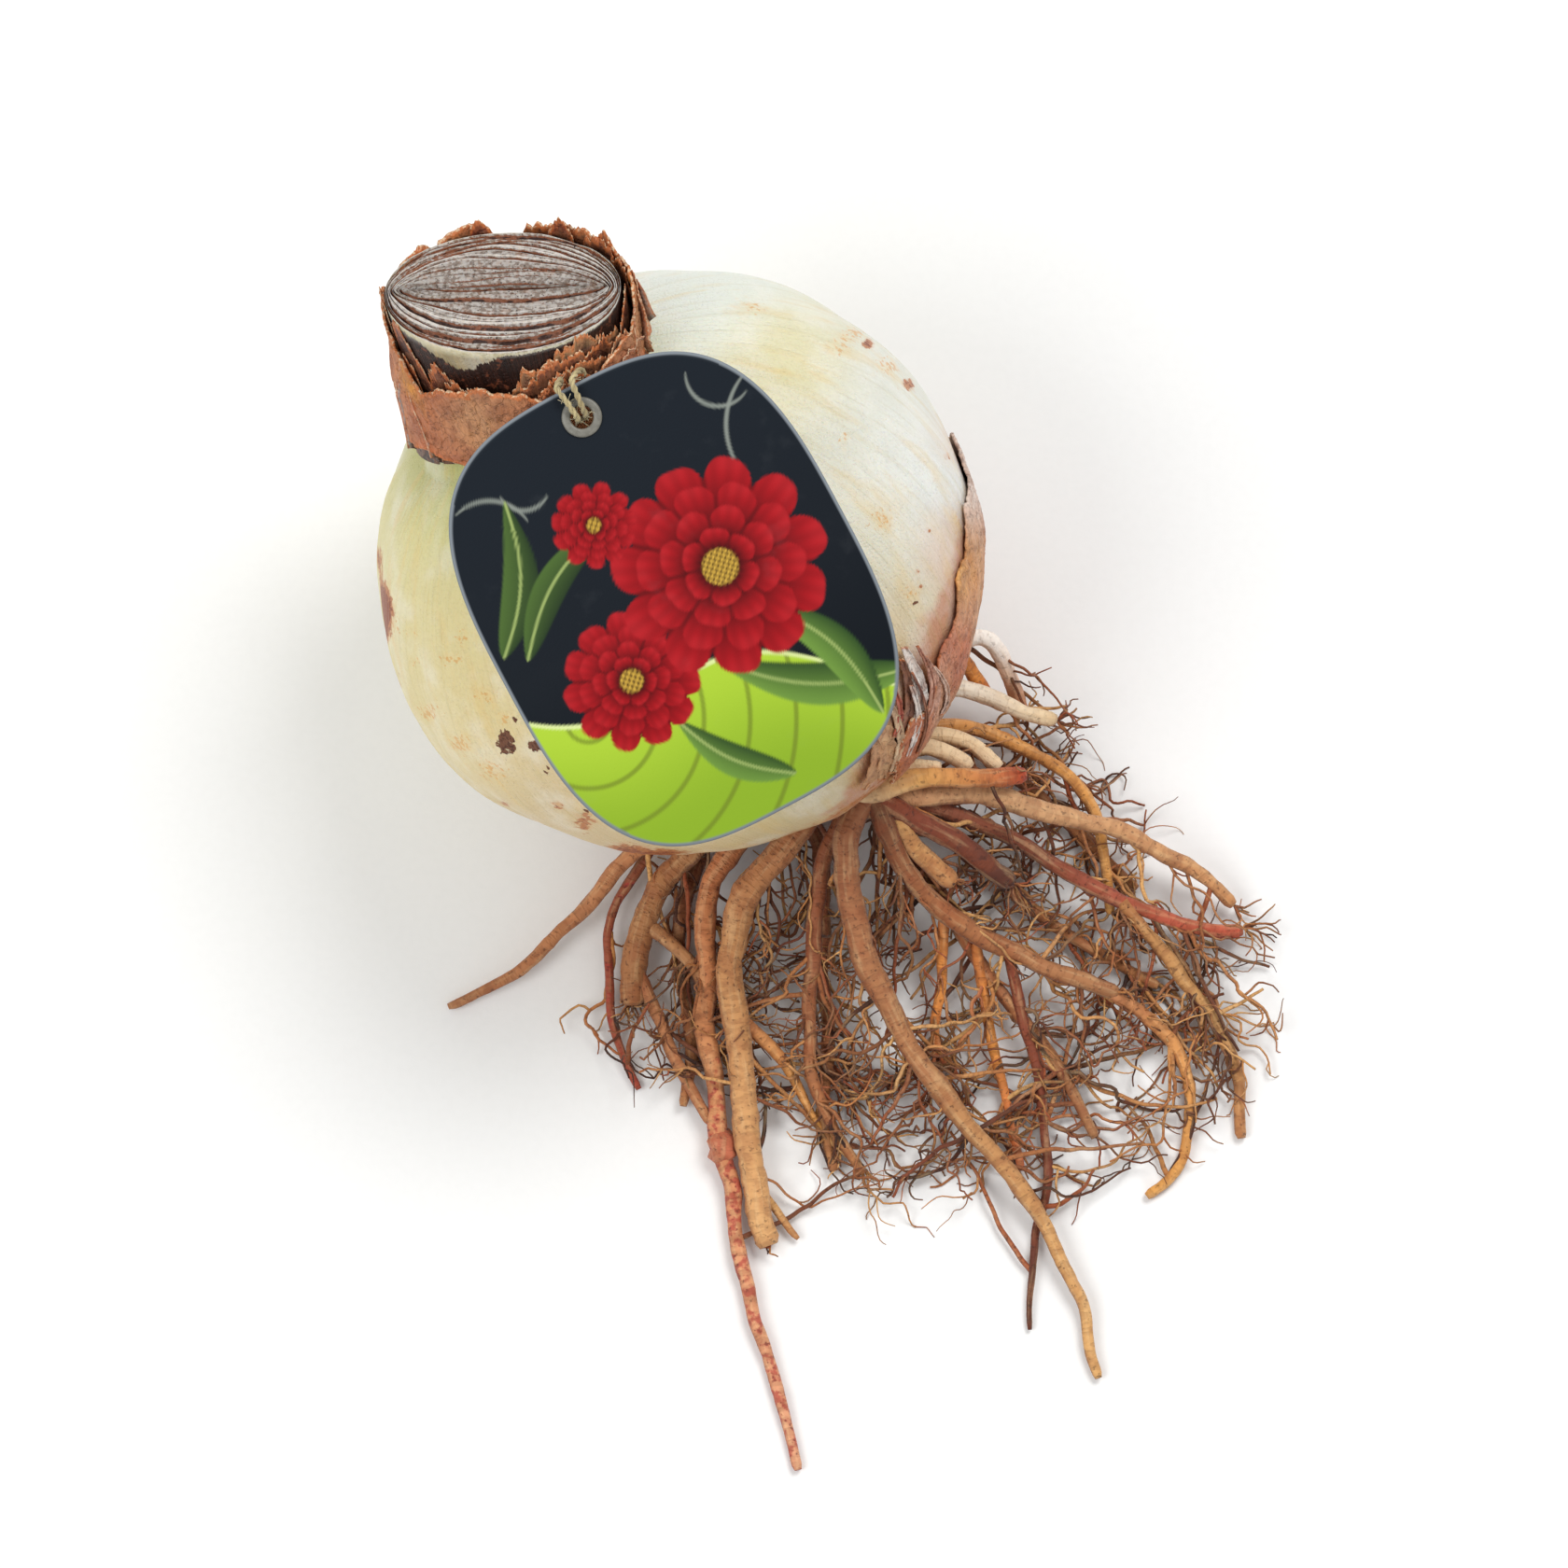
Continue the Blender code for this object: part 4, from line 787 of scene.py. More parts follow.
@dataclass
class DrySkins(SubAssembly):
    """The dry skins: a torn collar round the neck, torn layers inside it, and the skin on the body's side."""

    bulb: Bulb
    thickness: float = 0.7 * MM
    gap: float = 0.35 * MM
    open_gap: float = 1.85 * MM
    samples: int = 48
    front_rim: float = 0.66
    back_rim: float = 0.94
    rim_tear: float = 0.045
    # Where the hem is torn away from the green shoulder, and the rim stands up: turn, spread in degrees, rise
    hem_tears: tuple = ((-142, 34, 0.27), (-168, 24, 0.2), (-94, 18, 0.14), (-8, 34, 0.5))
    rim_bumps: tuple = ((-106, 20, 0.13), (-176, 12, 0.08), (18, 26, 0.08), (104, 7, 0.08), (62, 14, 0.07))
    closed: tuple = ((-172, 44, 0.8), (4, 26, 0.3))
    rim_straight: float = 0.985
    rim_seed: int = 3
    hem: tuple[float, float, float] = (-0.06, 0.07, 0.035)
    hem_seed: int = 8
    side_polar: tuple[float, float] = (101.0, 143.0)
    side_turn: tuple[float, float] = (-52.0, 72.0)
    side_samples: int = 18
    side_tear: float = 5.0
    side_ends: float = 0.35
    side_seed: int = 5
    crinkle: float = 0.26 * MM
    # Torn layers between core and collar: turns of both ends, top rise, gap, lean out at the top, code, seed
    layers: tuple = (
        ((-100, -4), 0.95, 0.25, 0.0, "#C89A6C", 1), ((-96, -8), 0.89, 0.5, 0.1, "#A05A3C", 2),
        ((-90, -14), 0.81, 0.85, 0.2, "#C07A50", 3), ((-94, -22), 0.74, 1.2, 0.3, "#A85C38", 4),
        ((-152, -112), 0.82, 0.3, 0.0, "#7A4030", 25), ((-140, -100), 0.76, 0.8, 0.2, "#94553A", 26),
        # The near-white layer from -66 to -40 degrees is a painted highlight, a glint on the torn layers
        ((-66, -40), 0.7, 1.5, 0.5, "#E2DCD6", 5), ((-178, -132), 0.92, 0.4, 0.0, "#8A4A36", 6),
        ((-176, -140), 0.82, 0.9, 0.4, "#A4573A", 7), ((-168, -148), 0.78, 1.5, 1.5, "#E9E2DC", 8),
        ((-146, -116), 0.7, 1.2, 0.2, "#7C3E2A", 9), ((-128, -96), 0.74, 1.5, 0.3, "#9C5638", 10),
        ((-40, -8), 0.9, 1.5, 0.9, "#B98466", 11), ((-22, 20), 1.0, 0.6, 0.4, "#7A3E2A", 12),
        ((-16, 14), 0.94, 1.3, 1.5, "#E8CFC2", 13), ((0, 48), 1.03, 0.9, 0.9, "#C8703C", 14),
        ((-8, 30), 0.98, 1.6, 1.9, "#D8A892", 15), ((24, 62), 1.06, 1.2, 0.8, "#8C4630", 16),
        ((30, 50), 1.1, 1.6, 1.0, "#C0683A", 17), ((52, 78), 1.08, 0.8, 0.6, "#A8522E", 18),
        ((96, 112), 1.12, 0.9, 0.5, "#A4482C", 19), ((108, 170), 0.99, 0.6, 0.2, "#8A5038", 20),
        ((166, 196), 1.05, 0.6, 0.8, "#3E211A", 21), ((172, 190), 1.08, 1.2, 1.3, "#7A4030", 22),
        ((-30, -4), 0.7, 2.0, 0.8, "#F0E4DC", 23), ((10, 22), 0.86, 2.1, 1.6, "#F0DDD2", 24))
    # Loose strips on the body's side: ends in mm across and up, width in mm, height in mm, code, seed
    strips: tuple = (
        ((35.2, -12.2), (36.2, -26.5), 1.9, 0.35, "#F3EDE5", 31),
        ((36.8, -12.0), (38.0, -25.0), 0.8, 0.5, "#B47660", 32),
        ((34.2, -14.0), (34.4, -28.0), 1.6, 0.2, "#7A5040", 33),
        ((38.0, -13.5), (39.2, -24.0), 1.5, 0.35, "#DCA890", 34),
        ((33.0, -17.5), (33.4, -26.0), 0.8, 0.45, "#C05446", 35),
        ((30.6, -20.0), (31.2, -32.5), 2.6, 0.25, "#D6A878", 36),
        ((32.4, -19.5), (32.8, -31.5), 1.2, 0.5, "#E8CCA4", 37),
        ((29.0, -23.5), (29.0, -34.0), 2.0, 0.3, "#CC9C70", 38),
        ((35.8, -18.0), (36.0, -29.0), 0.9, 0.7, "#F8F3EC", 40),
        ((40.0, -15.0), (40.6, -22.5), 0.7, 0.4, "#E6CCBC", 42),
        ((36.6, -16.0), (36.8, -28.5), 0.35, 0.8, "#7A4434", 43))
    strip_bow: float = 1.7

    def tear(self, turn: float, start: float, step: float, seed: int, strength: float) -> float:
        """Ragged wave of a torn edge, smooth between its samples, with finer fraying on top.

        Args:
            turn: Turn round the bulb's axis in radians.
            start: Turn of the first sample in degrees.
            step: Turn between samples in degrees.
            seed: Seed of this edge.
            strength: Depth of the tear, in the edge's own measure.

        Returns:
            Offset of the edge.
        """
        def sample(index: int) -> float:
            """Height of the tear at this step."""
            degrees = start + step * index
            if start == 0:
                degrees %= 360
            at = math.radians(degrees)
            draw = random.Random(seed * 1000 + round(degrees * 10))
            waves = math.sin(5 * at + seed) + 0.6 * math.sin(11 * at + 2 * seed)
            return 0.5 * waves + draw.uniform(-1.0, 1.0)

        at = (math.degrees(turn) - start) / step
        index = math.floor(at + 1e-6)
        low, high = sample(index), sample(index + 1)
        way = round_way(turn, 0.1 * seed)
        ragged = 0.35 + 0.9 * max(0.0, noise.noise(way * 1.3) + 0.5 * math.cos(turn - 0.6))
        fray = 0.6 * noise.noise(way * 17) + 0.45 * noise.noise(way * 48)
        return strength * (low + (high - low) * (at - index) + fray * ragged)

    def fold(self, place: Vector, broad: float, fine: float) -> float:
        """Crinkles of dried skin: broad buckles and fine creases, each of this depth at most."""
        creases = noise.fractal(place / (2.4 * MM), 0.9, 2.0, 4)
        return broad * noise.noise(place / (6.5 * MM)) + fine * (1 - 2 * abs(creases))

    def bumps(self, turn: float, places: Sequence[tuple[float, float, float]]) -> float:
        """Sum of smooth bumps, each with its turn and spread in degrees and its height."""
        return sum(high * math.exp(-(apart(turn, at) / wide) ** 2) for at, wide, high in places)

    def slant(self, turn: float) -> float:
        """How much lower in rise the cut is on this side of the neck."""
        return self.bulb.face_slant / self.bulb.neck_length * math.cos(turn)

    def collar_gap(self, turn: float, rise: float) -> float:
        """Room between the neck's wall and the collar, which opens above its hem and closes in on the cut."""
        return (self.gap + (self.open_gap - self.gap) * eased(rise, 0.0, 0.4)) * self.room(turn, rise)

    def room(self, turn: float, rise: float) -> float:
        """Share of the collar's room that is left where its rim closes in on the cut."""
        return 1 - min(1.0, self.bumps(turn, self.closed)) * eased(rise, 0.66, 0.9)

    def beside_neck(self, turn: float, rise: float, off: float) -> Vector:
        """Point this far off the neck's wall, straight on along the neck above the cut."""
        point = self.bulb.raised(turn, min(rise, self.rim_straight), off)
        return point + self.bulb.neck * max(0.0, rise - self.rim_straight) * self.bulb.neck_length

    def collar_place(self, across: float, climb: float) -> tuple[Vector, Vector, float, Colour]:
        """Point of the dry collar."""
        turn = (FULL_TURN * across) % FULL_TURN
        step = 360 / self.samples
        rise_of_hem, tilt, depth = self.hem
        hem = rise_of_hem - tilt * math.cos(turn) + self.tear(turn, 0, step, self.hem_seed, depth)
        hem += self.bumps(turn, self.hem_tears)
        front = max(0.0, math.sin(-turn)) ** 0.6
        rim = self.back_rim + (self.front_rim - self.back_rim) * front + self.bumps(turn, self.rim_bumps)
        rim += self.tear(turn, 0, step, self.rim_seed, self.rim_tear) - self.slant(turn)
        rise = hem + (rim - hem) * climb
        ring = round_way(turn) * self.bulb.neck_half[0]
        fibre = ring + Vector((0, 0, rise * self.bulb.neck_length * 0.3))
        loose = 0.25 + 0.75 * eased(rise, -0.05, 0.3)
        spot = Vector((ring.x, ring.y, rise * self.bulb.neck_length))
        folded = loose * self.fold(spot, 0.6 * MM, self.crinkle)
        height = self.collar_gap(turn, rise) + self.thickness / 2 + folded
        point = self.beside_neck(turn, rise, height)
        torn = max(1 - climb / 0.12, 1 - (1 - climb) / 0.12, 0.0)
        patch = noise.noise(spot / (7 * MM))
        tone = blended(linear("#CE966A"), linear("#AA6240"), 0.5 + 1.4 * patch)
        tone = blended(tone, linear("#C8784A"), eased(-math.cos(turn), 0.3, 1.0) * 0.6)
        tone = blended(tone, linear("#D26A34"), (1 - eased(climb, 0.0, 0.2)) * 0.7)
        orange = self.bumps(turn, ((-152, 9, 1.0), (8, 10, 0.7))) * eased(climb, 0.6, 0.9)
        tone = blended(tone, linear("#E09A3E"), orange * 0.85)
        return self.bulb.placed(point), fibre, torn, tone

    def layer_place(self, span: tuple[float, float], top: float, off: float, lean: float, code: str,
                    seed: int) -> Callable[[float, float], tuple[Vector, Vector, float, Colour]]:
        """Points of one torn layer between the neck's core and the collar.

        Args:
            span: Turn of its two ends in degrees.
            top: Rise of its upper edge.
            off: Distance from the neck's wall in mm.
            lean: How far its upper edge leans out in mm.
            code: Its colour.
            seed: Seed of its torn edge.

        Returns:
            Function that gives each point of the sheet.
        """
        def place(across: float, climb: float) -> tuple[Vector, Vector, float, Colour]:
            """Point, fibre, tear and tone at this share across and up the layer."""
            turn = math.radians(span[0] + (span[1] - span[0]) * across)
            way = round_way(turn, seed)
            ends = max(0.0, math.sin(math.pi * across)) ** 0.4
            ragged = 0.07 * noise.noise(way * 5) + 0.06 * noise.noise(way * 15) + 0.04 * noise.noise(way * 45)
            edge = 0.3 + (top - self.slant(turn) - 0.3) * ends + ragged
            rise = 0.25 + (edge - 0.25) * climb
            flutter = 0.3 * noise.noise(Vector((way.x * 8, way.y * 8, climb * 2 + seed))) * climb
            out = (off + flutter + lean * climb ** 4) * MM * self.room(turn, rise)
            point = self.beside_neck(turn, rise, out)
            ring = Vector((way.x, way.y, 0)) * self.bulb.neck_half[0]
            # Painted shade: each torn layer is near-black below its top edge, standing in for the shadow in
            # the gaps between the layers
            tone = blended(linear(code), linear("#1C0D09"), (1 - eased(climb, 0.85, 0.98)) * 0.93)
            return self.bulb.placed(point), ring + Vector((0, 0, rise * 4 * MM)), climb ** 8, tone

        return place

    def strip_place(self, start: tuple[float, float], end: tuple[float, float], width: float, high: float,
                    code: str, seed: int) -> Callable[[float, float], tuple[Vector, Vector, float, Colour]]:
        """Points of one loose strip on the body's side.

        Args:
            start: Its upper end, in mm across and up from the body's middle as the camera sees it.
            end: Its lower end.
            width: Its width in mm.
            high: Its height over the skin in mm.
            code: Its colour.
            seed: Seed of its torn edge.

        Returns:
            Function that gives each point of the strip.
        """
        def place(across: float, climb: float) -> tuple[Vector, Vector, float, Colour]:
            """Point, fibre, tear and tone at this share across and up the strip."""
            along = Vector((end[0] - start[0], end[1] - start[1]))
            aside = Vector((-along.y, along.x)).normalized()
            taper = max(0.02, math.sin(math.pi * (0.06 + 0.9 * climb))) ** 0.5
            fray = 0.35 * noise.noise(Vector((climb * 9, across * 2, seed))) + 0.2 * noise.noise(
                Vector((climb * 30, across * 2, seed)))
            off = ((across - 0.5) * taper + fray * 0.5) * width
            sway = 0.4 * math.sin(3 * climb + seed) + self.strip_bow * math.sin(math.pi * climb)
            x, y = Vector(start) + along * climb + aside * (off + sway)
            curl = 0.35 * abs(across - 0.5) * 2 + 0.25 * noise.noise(Vector((climb * 7, seed, 0)))
            point = self.bulb.facing(x, y, (self.gap / MM + high + curl) * MM)
            fibre = Vector((across * width, seed * 3, climb * along.length * 0.12)) * MM
            torn = max(1 - climb / 0.06, 1 - (1 - climb) / 0.06, 0.0)
            browned = max(0.0, noise.noise(Vector((climb * 6, seed, 3))))
            tone = blended(linear(code), linear("#9A6248"), browned)
            return point, fibre, torn, tone

        return place

    def side_place(self, across: float, climb: float) -> tuple[Vector, Vector, float, Colour]:
        """Point of the dry skin on the body's side."""
        low, high = self.side_turn
        turn = low + (high - low) * across
        bulge = max(0.0, math.sin(math.pi * across)) ** 0.5
        height = self.side_ends + (1 - self.side_ends) * bulge
        top = self.side_polar[1] - (self.side_polar[1] - self.side_polar[0]) * height
        step = (high - low) / self.side_samples
        top += self.tear(math.radians(turn), low, step, self.side_seed, self.side_tear)
        polar = self.side_polar[1] + (top - self.side_polar[1]) * climb
        at, tilt = math.radians(turn), math.radians(polar)
        ring = round_way(at) * self.bulb.radius
        fibre = ring + Vector((0, 0, tilt * self.bulb.radius * 0.12))
        spot = Vector((ring.x, ring.y, tilt * self.bulb.radius))
        height = self.gap + self.thickness / 2 + self.fold(spot, 0.3 * MM, self.crinkle)
        point = self.bulb.above_body(tilt, at, height)
        torn = max(1 - (1 - climb) / 0.12, 1 - climb / 0.08, 1 - across / 0.05, 1 - (1 - across) / 0.05, 0.0)
        patch = noise.noise(ring / (9 * MM) + Vector((0, 0, tilt * 3)))
        tone = blended(linear("#DCAA88"), linear("#CE7852"), 0.5 + 1.5 * patch)
        a, u, _ = self.bulb.seen(self.bulb.placed(point))
        tone = blended(tone, linear("#ECAE66"), math.exp(-((a - 43) / 4) ** 2 - ((u + 1) / 6) ** 2))
        tone = blended(tone, linear("#D06246"), math.exp(-((a - 39) / 4) ** 2 - ((u + 10) / 4) ** 2))
        tone = blended(tone, linear("#EEDDD0"), eased(u, 3, 12) * 0.9)
        torn *= 1 - 0.9 * eased(u, -18, -8)
        tone = blended(tone, linear("#B07C5C"), (1 - eased(climb, 0.0, 0.35)) * 0.7)
        return self.bulb.placed(point), fibre, torn, tone

    def build(self) -> None:
        """Grows and dresses the dry skins."""
        # Papery skin is satin where its cuticle is whole and rough where the fibres lie open
        finish = DryTunic("dry bulb tunic", roughness=0.55, ior=1.48, relief=0.35)
        collar = TornSheet(480, 26, self.collar_place).grow()
        self.thicken(self.settle("neck_skin", collar, [finish], "dry_tunic", ["neck_tunic"]), 0.4 * MM)
        side = TornSheet(200, 70, self.side_place).grow()
        self.thicken(self.settle("side_skin", side, [finish], "dry_tunic", ["side_tunic"]), 0.4 * MM)
        sheets = [TornSheet(120, 12, self.layer_place(*layer)).grow() for layer in self.layers]
        strips = [TornSheet(16, 60, self.strip_place(*strip)).grow() for strip in self.strips]
        self.thicken(self.settle("inner_skins", merged(sheets), [finish], "dry_tunic"), 0.15 * MM)
        self.thicken(self.settle("loose_strips", merged(strips), [finish], "dry_tunic"), 0.2 * MM)


class RootTone(Enum):
    """Colours of a root's skin, evenly from the plate to its tip."""

    BROWN_TAN = ("#8A5638", "#B27C58", "#986848")
    RED_TIPPED = ("#8F5F45", "#84503A", "#8E3F32")
    CUT_TAN = ("#B08560", "#A67A55", "#8C5E3C")
    TAN_TO_PINK = ("#A8603E", "#B88058", "#CC9478")
    RED_TO_STRAW = ("#98563E", "#AE8056", "#C89C6C")
    BROWN_TO_GOLD = ("#80503A", "#966A48", "#CCA068")
    DARK = ("#3E2016", "#8C5A3A", "#946A4A")
    STRAW = ("#9E7048", "#B08858", "#A87850")
    RED_BROWN = ("#743A28", "#6A3424", "#3E2018")
    CREAM_TO_RED = ("#EAD8BA", "#D2A060", "#94341E")
    PALE_TAN = ("#BC8E6C", "#BE9672", "#B08058")
    PINK = ("#905A48", "#663628", "#B25442")
    WHITE_TO_RUST = ("#FFFDF8", "#FFFDF8", "#FFFDF8", "#FFF6EA", "#C87434")
    WHITE = ("#FFFEFA", "#FBF6EC", "#EBD0A6")
    CREAM = ("#E4BE94", "#EDD0A6", "#EBD2AE")
    GOLD = ("#A87454", "#C48C50", "#C4904E")
    ORANGE = ("#B4703C", "#CE8A44", "#CC6C48")
    BURIED = ("#8C5A3E", "#7E4C34", "#9A6A44")


@dataclass(frozen=True)
class Root:
    """A root: where it leaves the plate in degrees, radii, colours, route in mm and share of red spots."""

    turn: float | None
    radius: float
    tip: float
    tone: RootTone
    route: tuple
    spots: float = 0.0


THICK_ROOTS: dict[str, Root] = {
    "far_left": Root(-10, 2.0, 0.7, RootTone.BROWN_TAN, (
        (-4, -36, 9), (-10, -38, 7), (-15, -46, 5), (-24, -55, 3), (-29, -58, 2), (-36, -60, 1))),
    "thin_left": Root(-24, 1.1, 0.6, RootTone.RED_TIPPED, (
        (-5, -36, 6), (-11, -42, 4.5), (-11, -48, 4), (-11.5, -56, 3), (-10, -61, 2.5), (-10, -66, 2),
        (-8, -69, 1.5), (-6, -73, 1)), 0.9),
    "cut_stub": Root(2, 2.1, 2.0, RootTone.CUT_TAN, (
        (-4, -41, 7.5), (-6, -46, 6), (-7, -52, 4.5), (-7, -60, 3))),
    "front_long": Root(14, 2.0, 0.8, RootTone.TAN_TO_PINK, (
        (5.6, -39, 10), (5, -53, 7), (4, -63, 5), (4.6, -70, 4), (6, -77, 3), (7, -83, 2.8), (9, -90, 2.5),
        (10, -98, 2), (10, -103.5, 2), (11.5, -109.5, 2), (14, -115, 1.6), (16.5, -121.5, 1.3),
        (18, -127, 1.1), (18.8, -133, 1)), 1.0),
    "front_thick": Root(30, 2.3, 2.0, RootTone.RED_TO_STRAW, (
        (15.5, -38, 16), (11, -42, 14), (9, -47, 11), (7.3, -53.5, 9), (7.3, -60.5, 8), (9.5, -67, 7),
        (11.5, -74, 6), (12, -81, 5), (11, -88, 3.6), (11.3, -93, 3), (14.5, -98, 2.2))),
    "right_long": Root(53, 2.4, 0.75, RootTone.BROWN_TO_GOLD, (
        (24, -36, 21), (25.2, -41, 19), (28, -49.5, 15), (31.4, -61, 11), (37.3, -70, 9), (43, -77, 8),
        (49, -84, 6), (55, -90, 4), (58.8, -96, 3), (60.6, -102.5, 2.4), (63.5, -108.7, 2),
        (65.5, -114, 1.6), (65.7, -119, 1.2))),
    "dark_middle": Root(84, 1.7, 1.3, RootTone.DARK, (
        (32.4, -39, 18), (37, -43.5, 15), (41, -47, 12), (45.6, -50, 10), (51, -52.3, 9), (55.7, -54.8, 8),
        (62, -57, 7), (68.5, -58.7, 6))),
    "broken_tan": Root(72, 1.7, 1.5, RootTone.STRAW, (
        (31, -34, 20), (35.6, -37, 18), (40, -40, 16), (43, -42.7, 14))),
    "red_brown": Root(104, 1.9, 1.6, RootTone.RED_BROWN, (
        (34, -30, 21), (38, -33, 19.5), (42.6, -36.5, 17), (47.8, -40.4, 14), (52.3, -42.7, 12))),
    "red_stub": Root(118, 1.6, 1.5, RootTone.CREAM_TO_RED, (
        (35, -26.5, 23), (38, -28.5, 23), (42, -29, 22), (48, -28, 20), (54.4, -26.3, 18))),
    "upper_right": Root(126, 2.0, 1.0, RootTone.PALE_TAN, (
        (40, -27, 18), (45.6, -29.5, 16), (50, -29.4, 15), (55.7, -31.4, 14), (62.8, -33, 12),
        (70.7, -33.7, 10), (75.2, -35, 8), (79.6, -39, 7), (84, -42, 5), (87, -44.3, 3))),
    "pink_right": Root(110, 1.4, 1.1, RootTone.PINK, (
        (38.6, -29.5, 15), (45.6, -31.8, 13), (52.3, -35.4, 11), (58.5, -38.5, 9.5), (64.2, -42.5, 8.5),
        (69.4, -44.5, 8), (74.3, -47.3, 6), (78.8, -48.8, 5), (83, -48.6, 4), (88.4, -47.8, 3)), 0.8),
    "white_arch": Root(174, 1.5, 1.3, RootTone.WHITE_TO_RUST, (
        (40, -7, 16), (44.4, -5, 18.6), (48.2, -3.2, 21.4), (51.4, -5.6, 18.6), (52.4, -9.2, 12),
        (53.4, -13.6, 5))),
    "white_side": Root(164, 1.6, 1.2, RootTone.WHITE, (
        (39, -10, 16), (42.6, -11, 16), (46.5, -13.2, 15), (50.5, -14.7, 14), (54, -16, 12),
        (59.3, -16.3, 10))),
    "finger_low": Root(138, 1.4, 1.2, RootTone.CREAM, ((36.5, -22.5, 22), (40.5, -25.5, 20.5))),
    "finger_mid": Root(148, 1.4, 1.2, RootTone.CREAM, ((38.5, -19.5, 20), (42, -22.5, 19), (46, -25.8, 18))),
    "finger_high": Root(156, 1.4, 1.2, RootTone.CREAM, (
        (40, -16.5, 17.5), (43.5, -20, 17.5), (50.5, -25, 16))),
    "golden_right": Root(158, 1.3, 0.8, RootTone.GOLD, (
        (41, -14.5, 13), (48, -18, 12), (55.6, -20.5, 10), (62, -23, 8), (65, -27, 7), (66.8, -30.6, 6),
        (67.7, -39, 5), (68, -46, 4))),
    "under_left": Root(-48, 1.7, 0.8, RootTone.BURIED, (
        (3, -36, 4), (-1, -50, 2.6), (3, -64, 2), (1, -76, 1.6))),
    "under_front": Root(-88, 1.6, 0.8, RootTone.BURIED, (
        (23, -34, 4), (21, -48, 3), (25, -62, 2.4), (21, -74, 2), (25, -86, 1.4))),
    "under_right": Root(-128, 1.5, 0.8, RootTone.BURIED, (
        (36, -27, 4), (46, -37, 3.4), (56, -46, 2.6), (66, -52, 2), (75, -57, 1.4))),
    "under_side": Root(-156, 1.4, 0.8, RootTone.BURIED, (
        (39, -15, 4), (51, -22, 3), (61, -32, 2), (72, -41, 1.5))),
    "inner_front": Root(42, 1.5, 0.8, RootTone.BURIED, (
        (21, -39, 15), (23, -52, 9), (19, -66, 6), (23, -78, 3.5), (29, -87, 2))),
    "inner_right": Root(98, 1.5, 0.8, RootTone.DARK, (
        (35, -35, 15), (43, -47, 8), (51, -60, 5), (61, -70, 3), (65, -81, 1.6))),
}

BRANCHES: dict[str, Root] = {
    "left_bridge": Root(None, 1.1, 0.9, RootTone.CUT_TAN, (
        (-6.3, -47, 5.6), (-1, -48.5, 6.4), (2.4, -53, 6.2), (4.2, -58, 5.8))),
    "left_twig": Root(None, 1.2, 0.8, RootTone.BROWN_TAN, (
        (-6.8, -54, 4), (-3, -61, 3), (-0.3, -68, 3), (3, -75, 2.5), (5.9, -78.5, 2.8))),
    "middle_fork": Root(None, 1.1, 0.5, RootTone.GOLD, (
        (8, -61.5, 7.4), (12.5, -64, 5), (16.4, -68.4, 4), (20, -73.6, 3), (22.8, -78.4, 2),
        (23.5, -84, 1.2))),
    "middle_twig": Root(None, 0.8, 0.5, RootTone.STRAW, (
        (11.2, -87, 3.9), (14, -91, 2.4), (16.5, -94, 1.8), (19, -96.5, 1.2))),
    "arch_leg": Root(None, 1.3, 1.1, RootTone.ORANGE, (
        (43.4, -6.6, 17.6), (45.8, -8.6, 15), (47.2, -10.5, 12), (48.3, -12.5, 8))),
    "outer_hook": Root(None, 1.1, 1.0, RootTone.STRAW, (
        (69.4, -44.6, 7.8), (74.3, -50.5, 5), (79.6, -57, 3.5), (84, -62.4, 2.5), (86, -66, 2),
        (87.6, -70, 1.6), (88.5, -75.5, 1.4), (88.3, -80.4, 1.2))),
    "outer_curl": Root(None, 1.1, 0.8, RootTone.GOLD, (
        (67, -58.4, 6.2), (73, -60.5, 4.6), (78.8, -64.3, 3), (80.8, -71, 2), (81, -77.5, 1.6),
        (80.2, -84.3, 1.3), (77.9, -88.7, 1.2), (73.2, -90.2, 1))),
    "orange_drop": Root(None, 0.9, 0.7, RootTone.ORANGE, (
        (46.4, -50.4, 9), (47, -55, 5), (48.2, -61, 3), (49.7, -68.7, 2.4), (51, -75.6, 2),
        (52.6, -82.4, 1.6), (53.3, -86, 1.2))),
    "dark_drop": Root(None, 0.95, 0.5, RootTone.RED_BROWN, (
        (51.5, -52.5, 8.5), (52, -58, 5), (55, -64.3, 3.5), (57, -71.6, 3), (58.6, -77.5, 2.5),
        (58.3, -86.3, 2), (57.2, -93, 1.6), (56, -98, 1.4), (54.4, -102.4, 1.2), (55.2, -106.8, 1),
        (54.9, -110.5, 0.8))),
    "orange_wave": Root(None, 0.9, 0.6, RootTone.ORANGE, (
        (41.6, -47.4, 11.6), (42, -51.6, 6), (41, -57, 4), (39.7, -62, 3.5), (40.2, -65.3, 3),
        (39.7, -68, 2.5), (43.5, -71.2, 2))),
}


def curve_point(before: Vector, start: Vector, end: Vector, after: Vector, t: float) -> Vector:
    """Point of the Catmull-Rom curve between start and end."""
    return 0.5 * (2 * start + (end - before) * t + (2 * before - 5 * start + 4 * end - after) * t * t
                  + (3 * start - before - 3 * end + after) * t ** 3)


def smooth_route(points: Sequence[Vector], spacing: float) -> list[Vector]:
    """Points at about this spacing along a smooth curve through the given points."""
    points = list(points)
    ends = [points[0] * 2 - points[1]] + points + [points[-1] * 2 - points[-2]]
    route = []
    for before, start, end, after in zip(ends, ends[1:], ends[2:], ends[3:]):
        count = max(1, round((end - start).length / spacing))
        route += [curve_point(before, start, end, after, index / count) for index in range(count)]
    return route + [points[-1]]


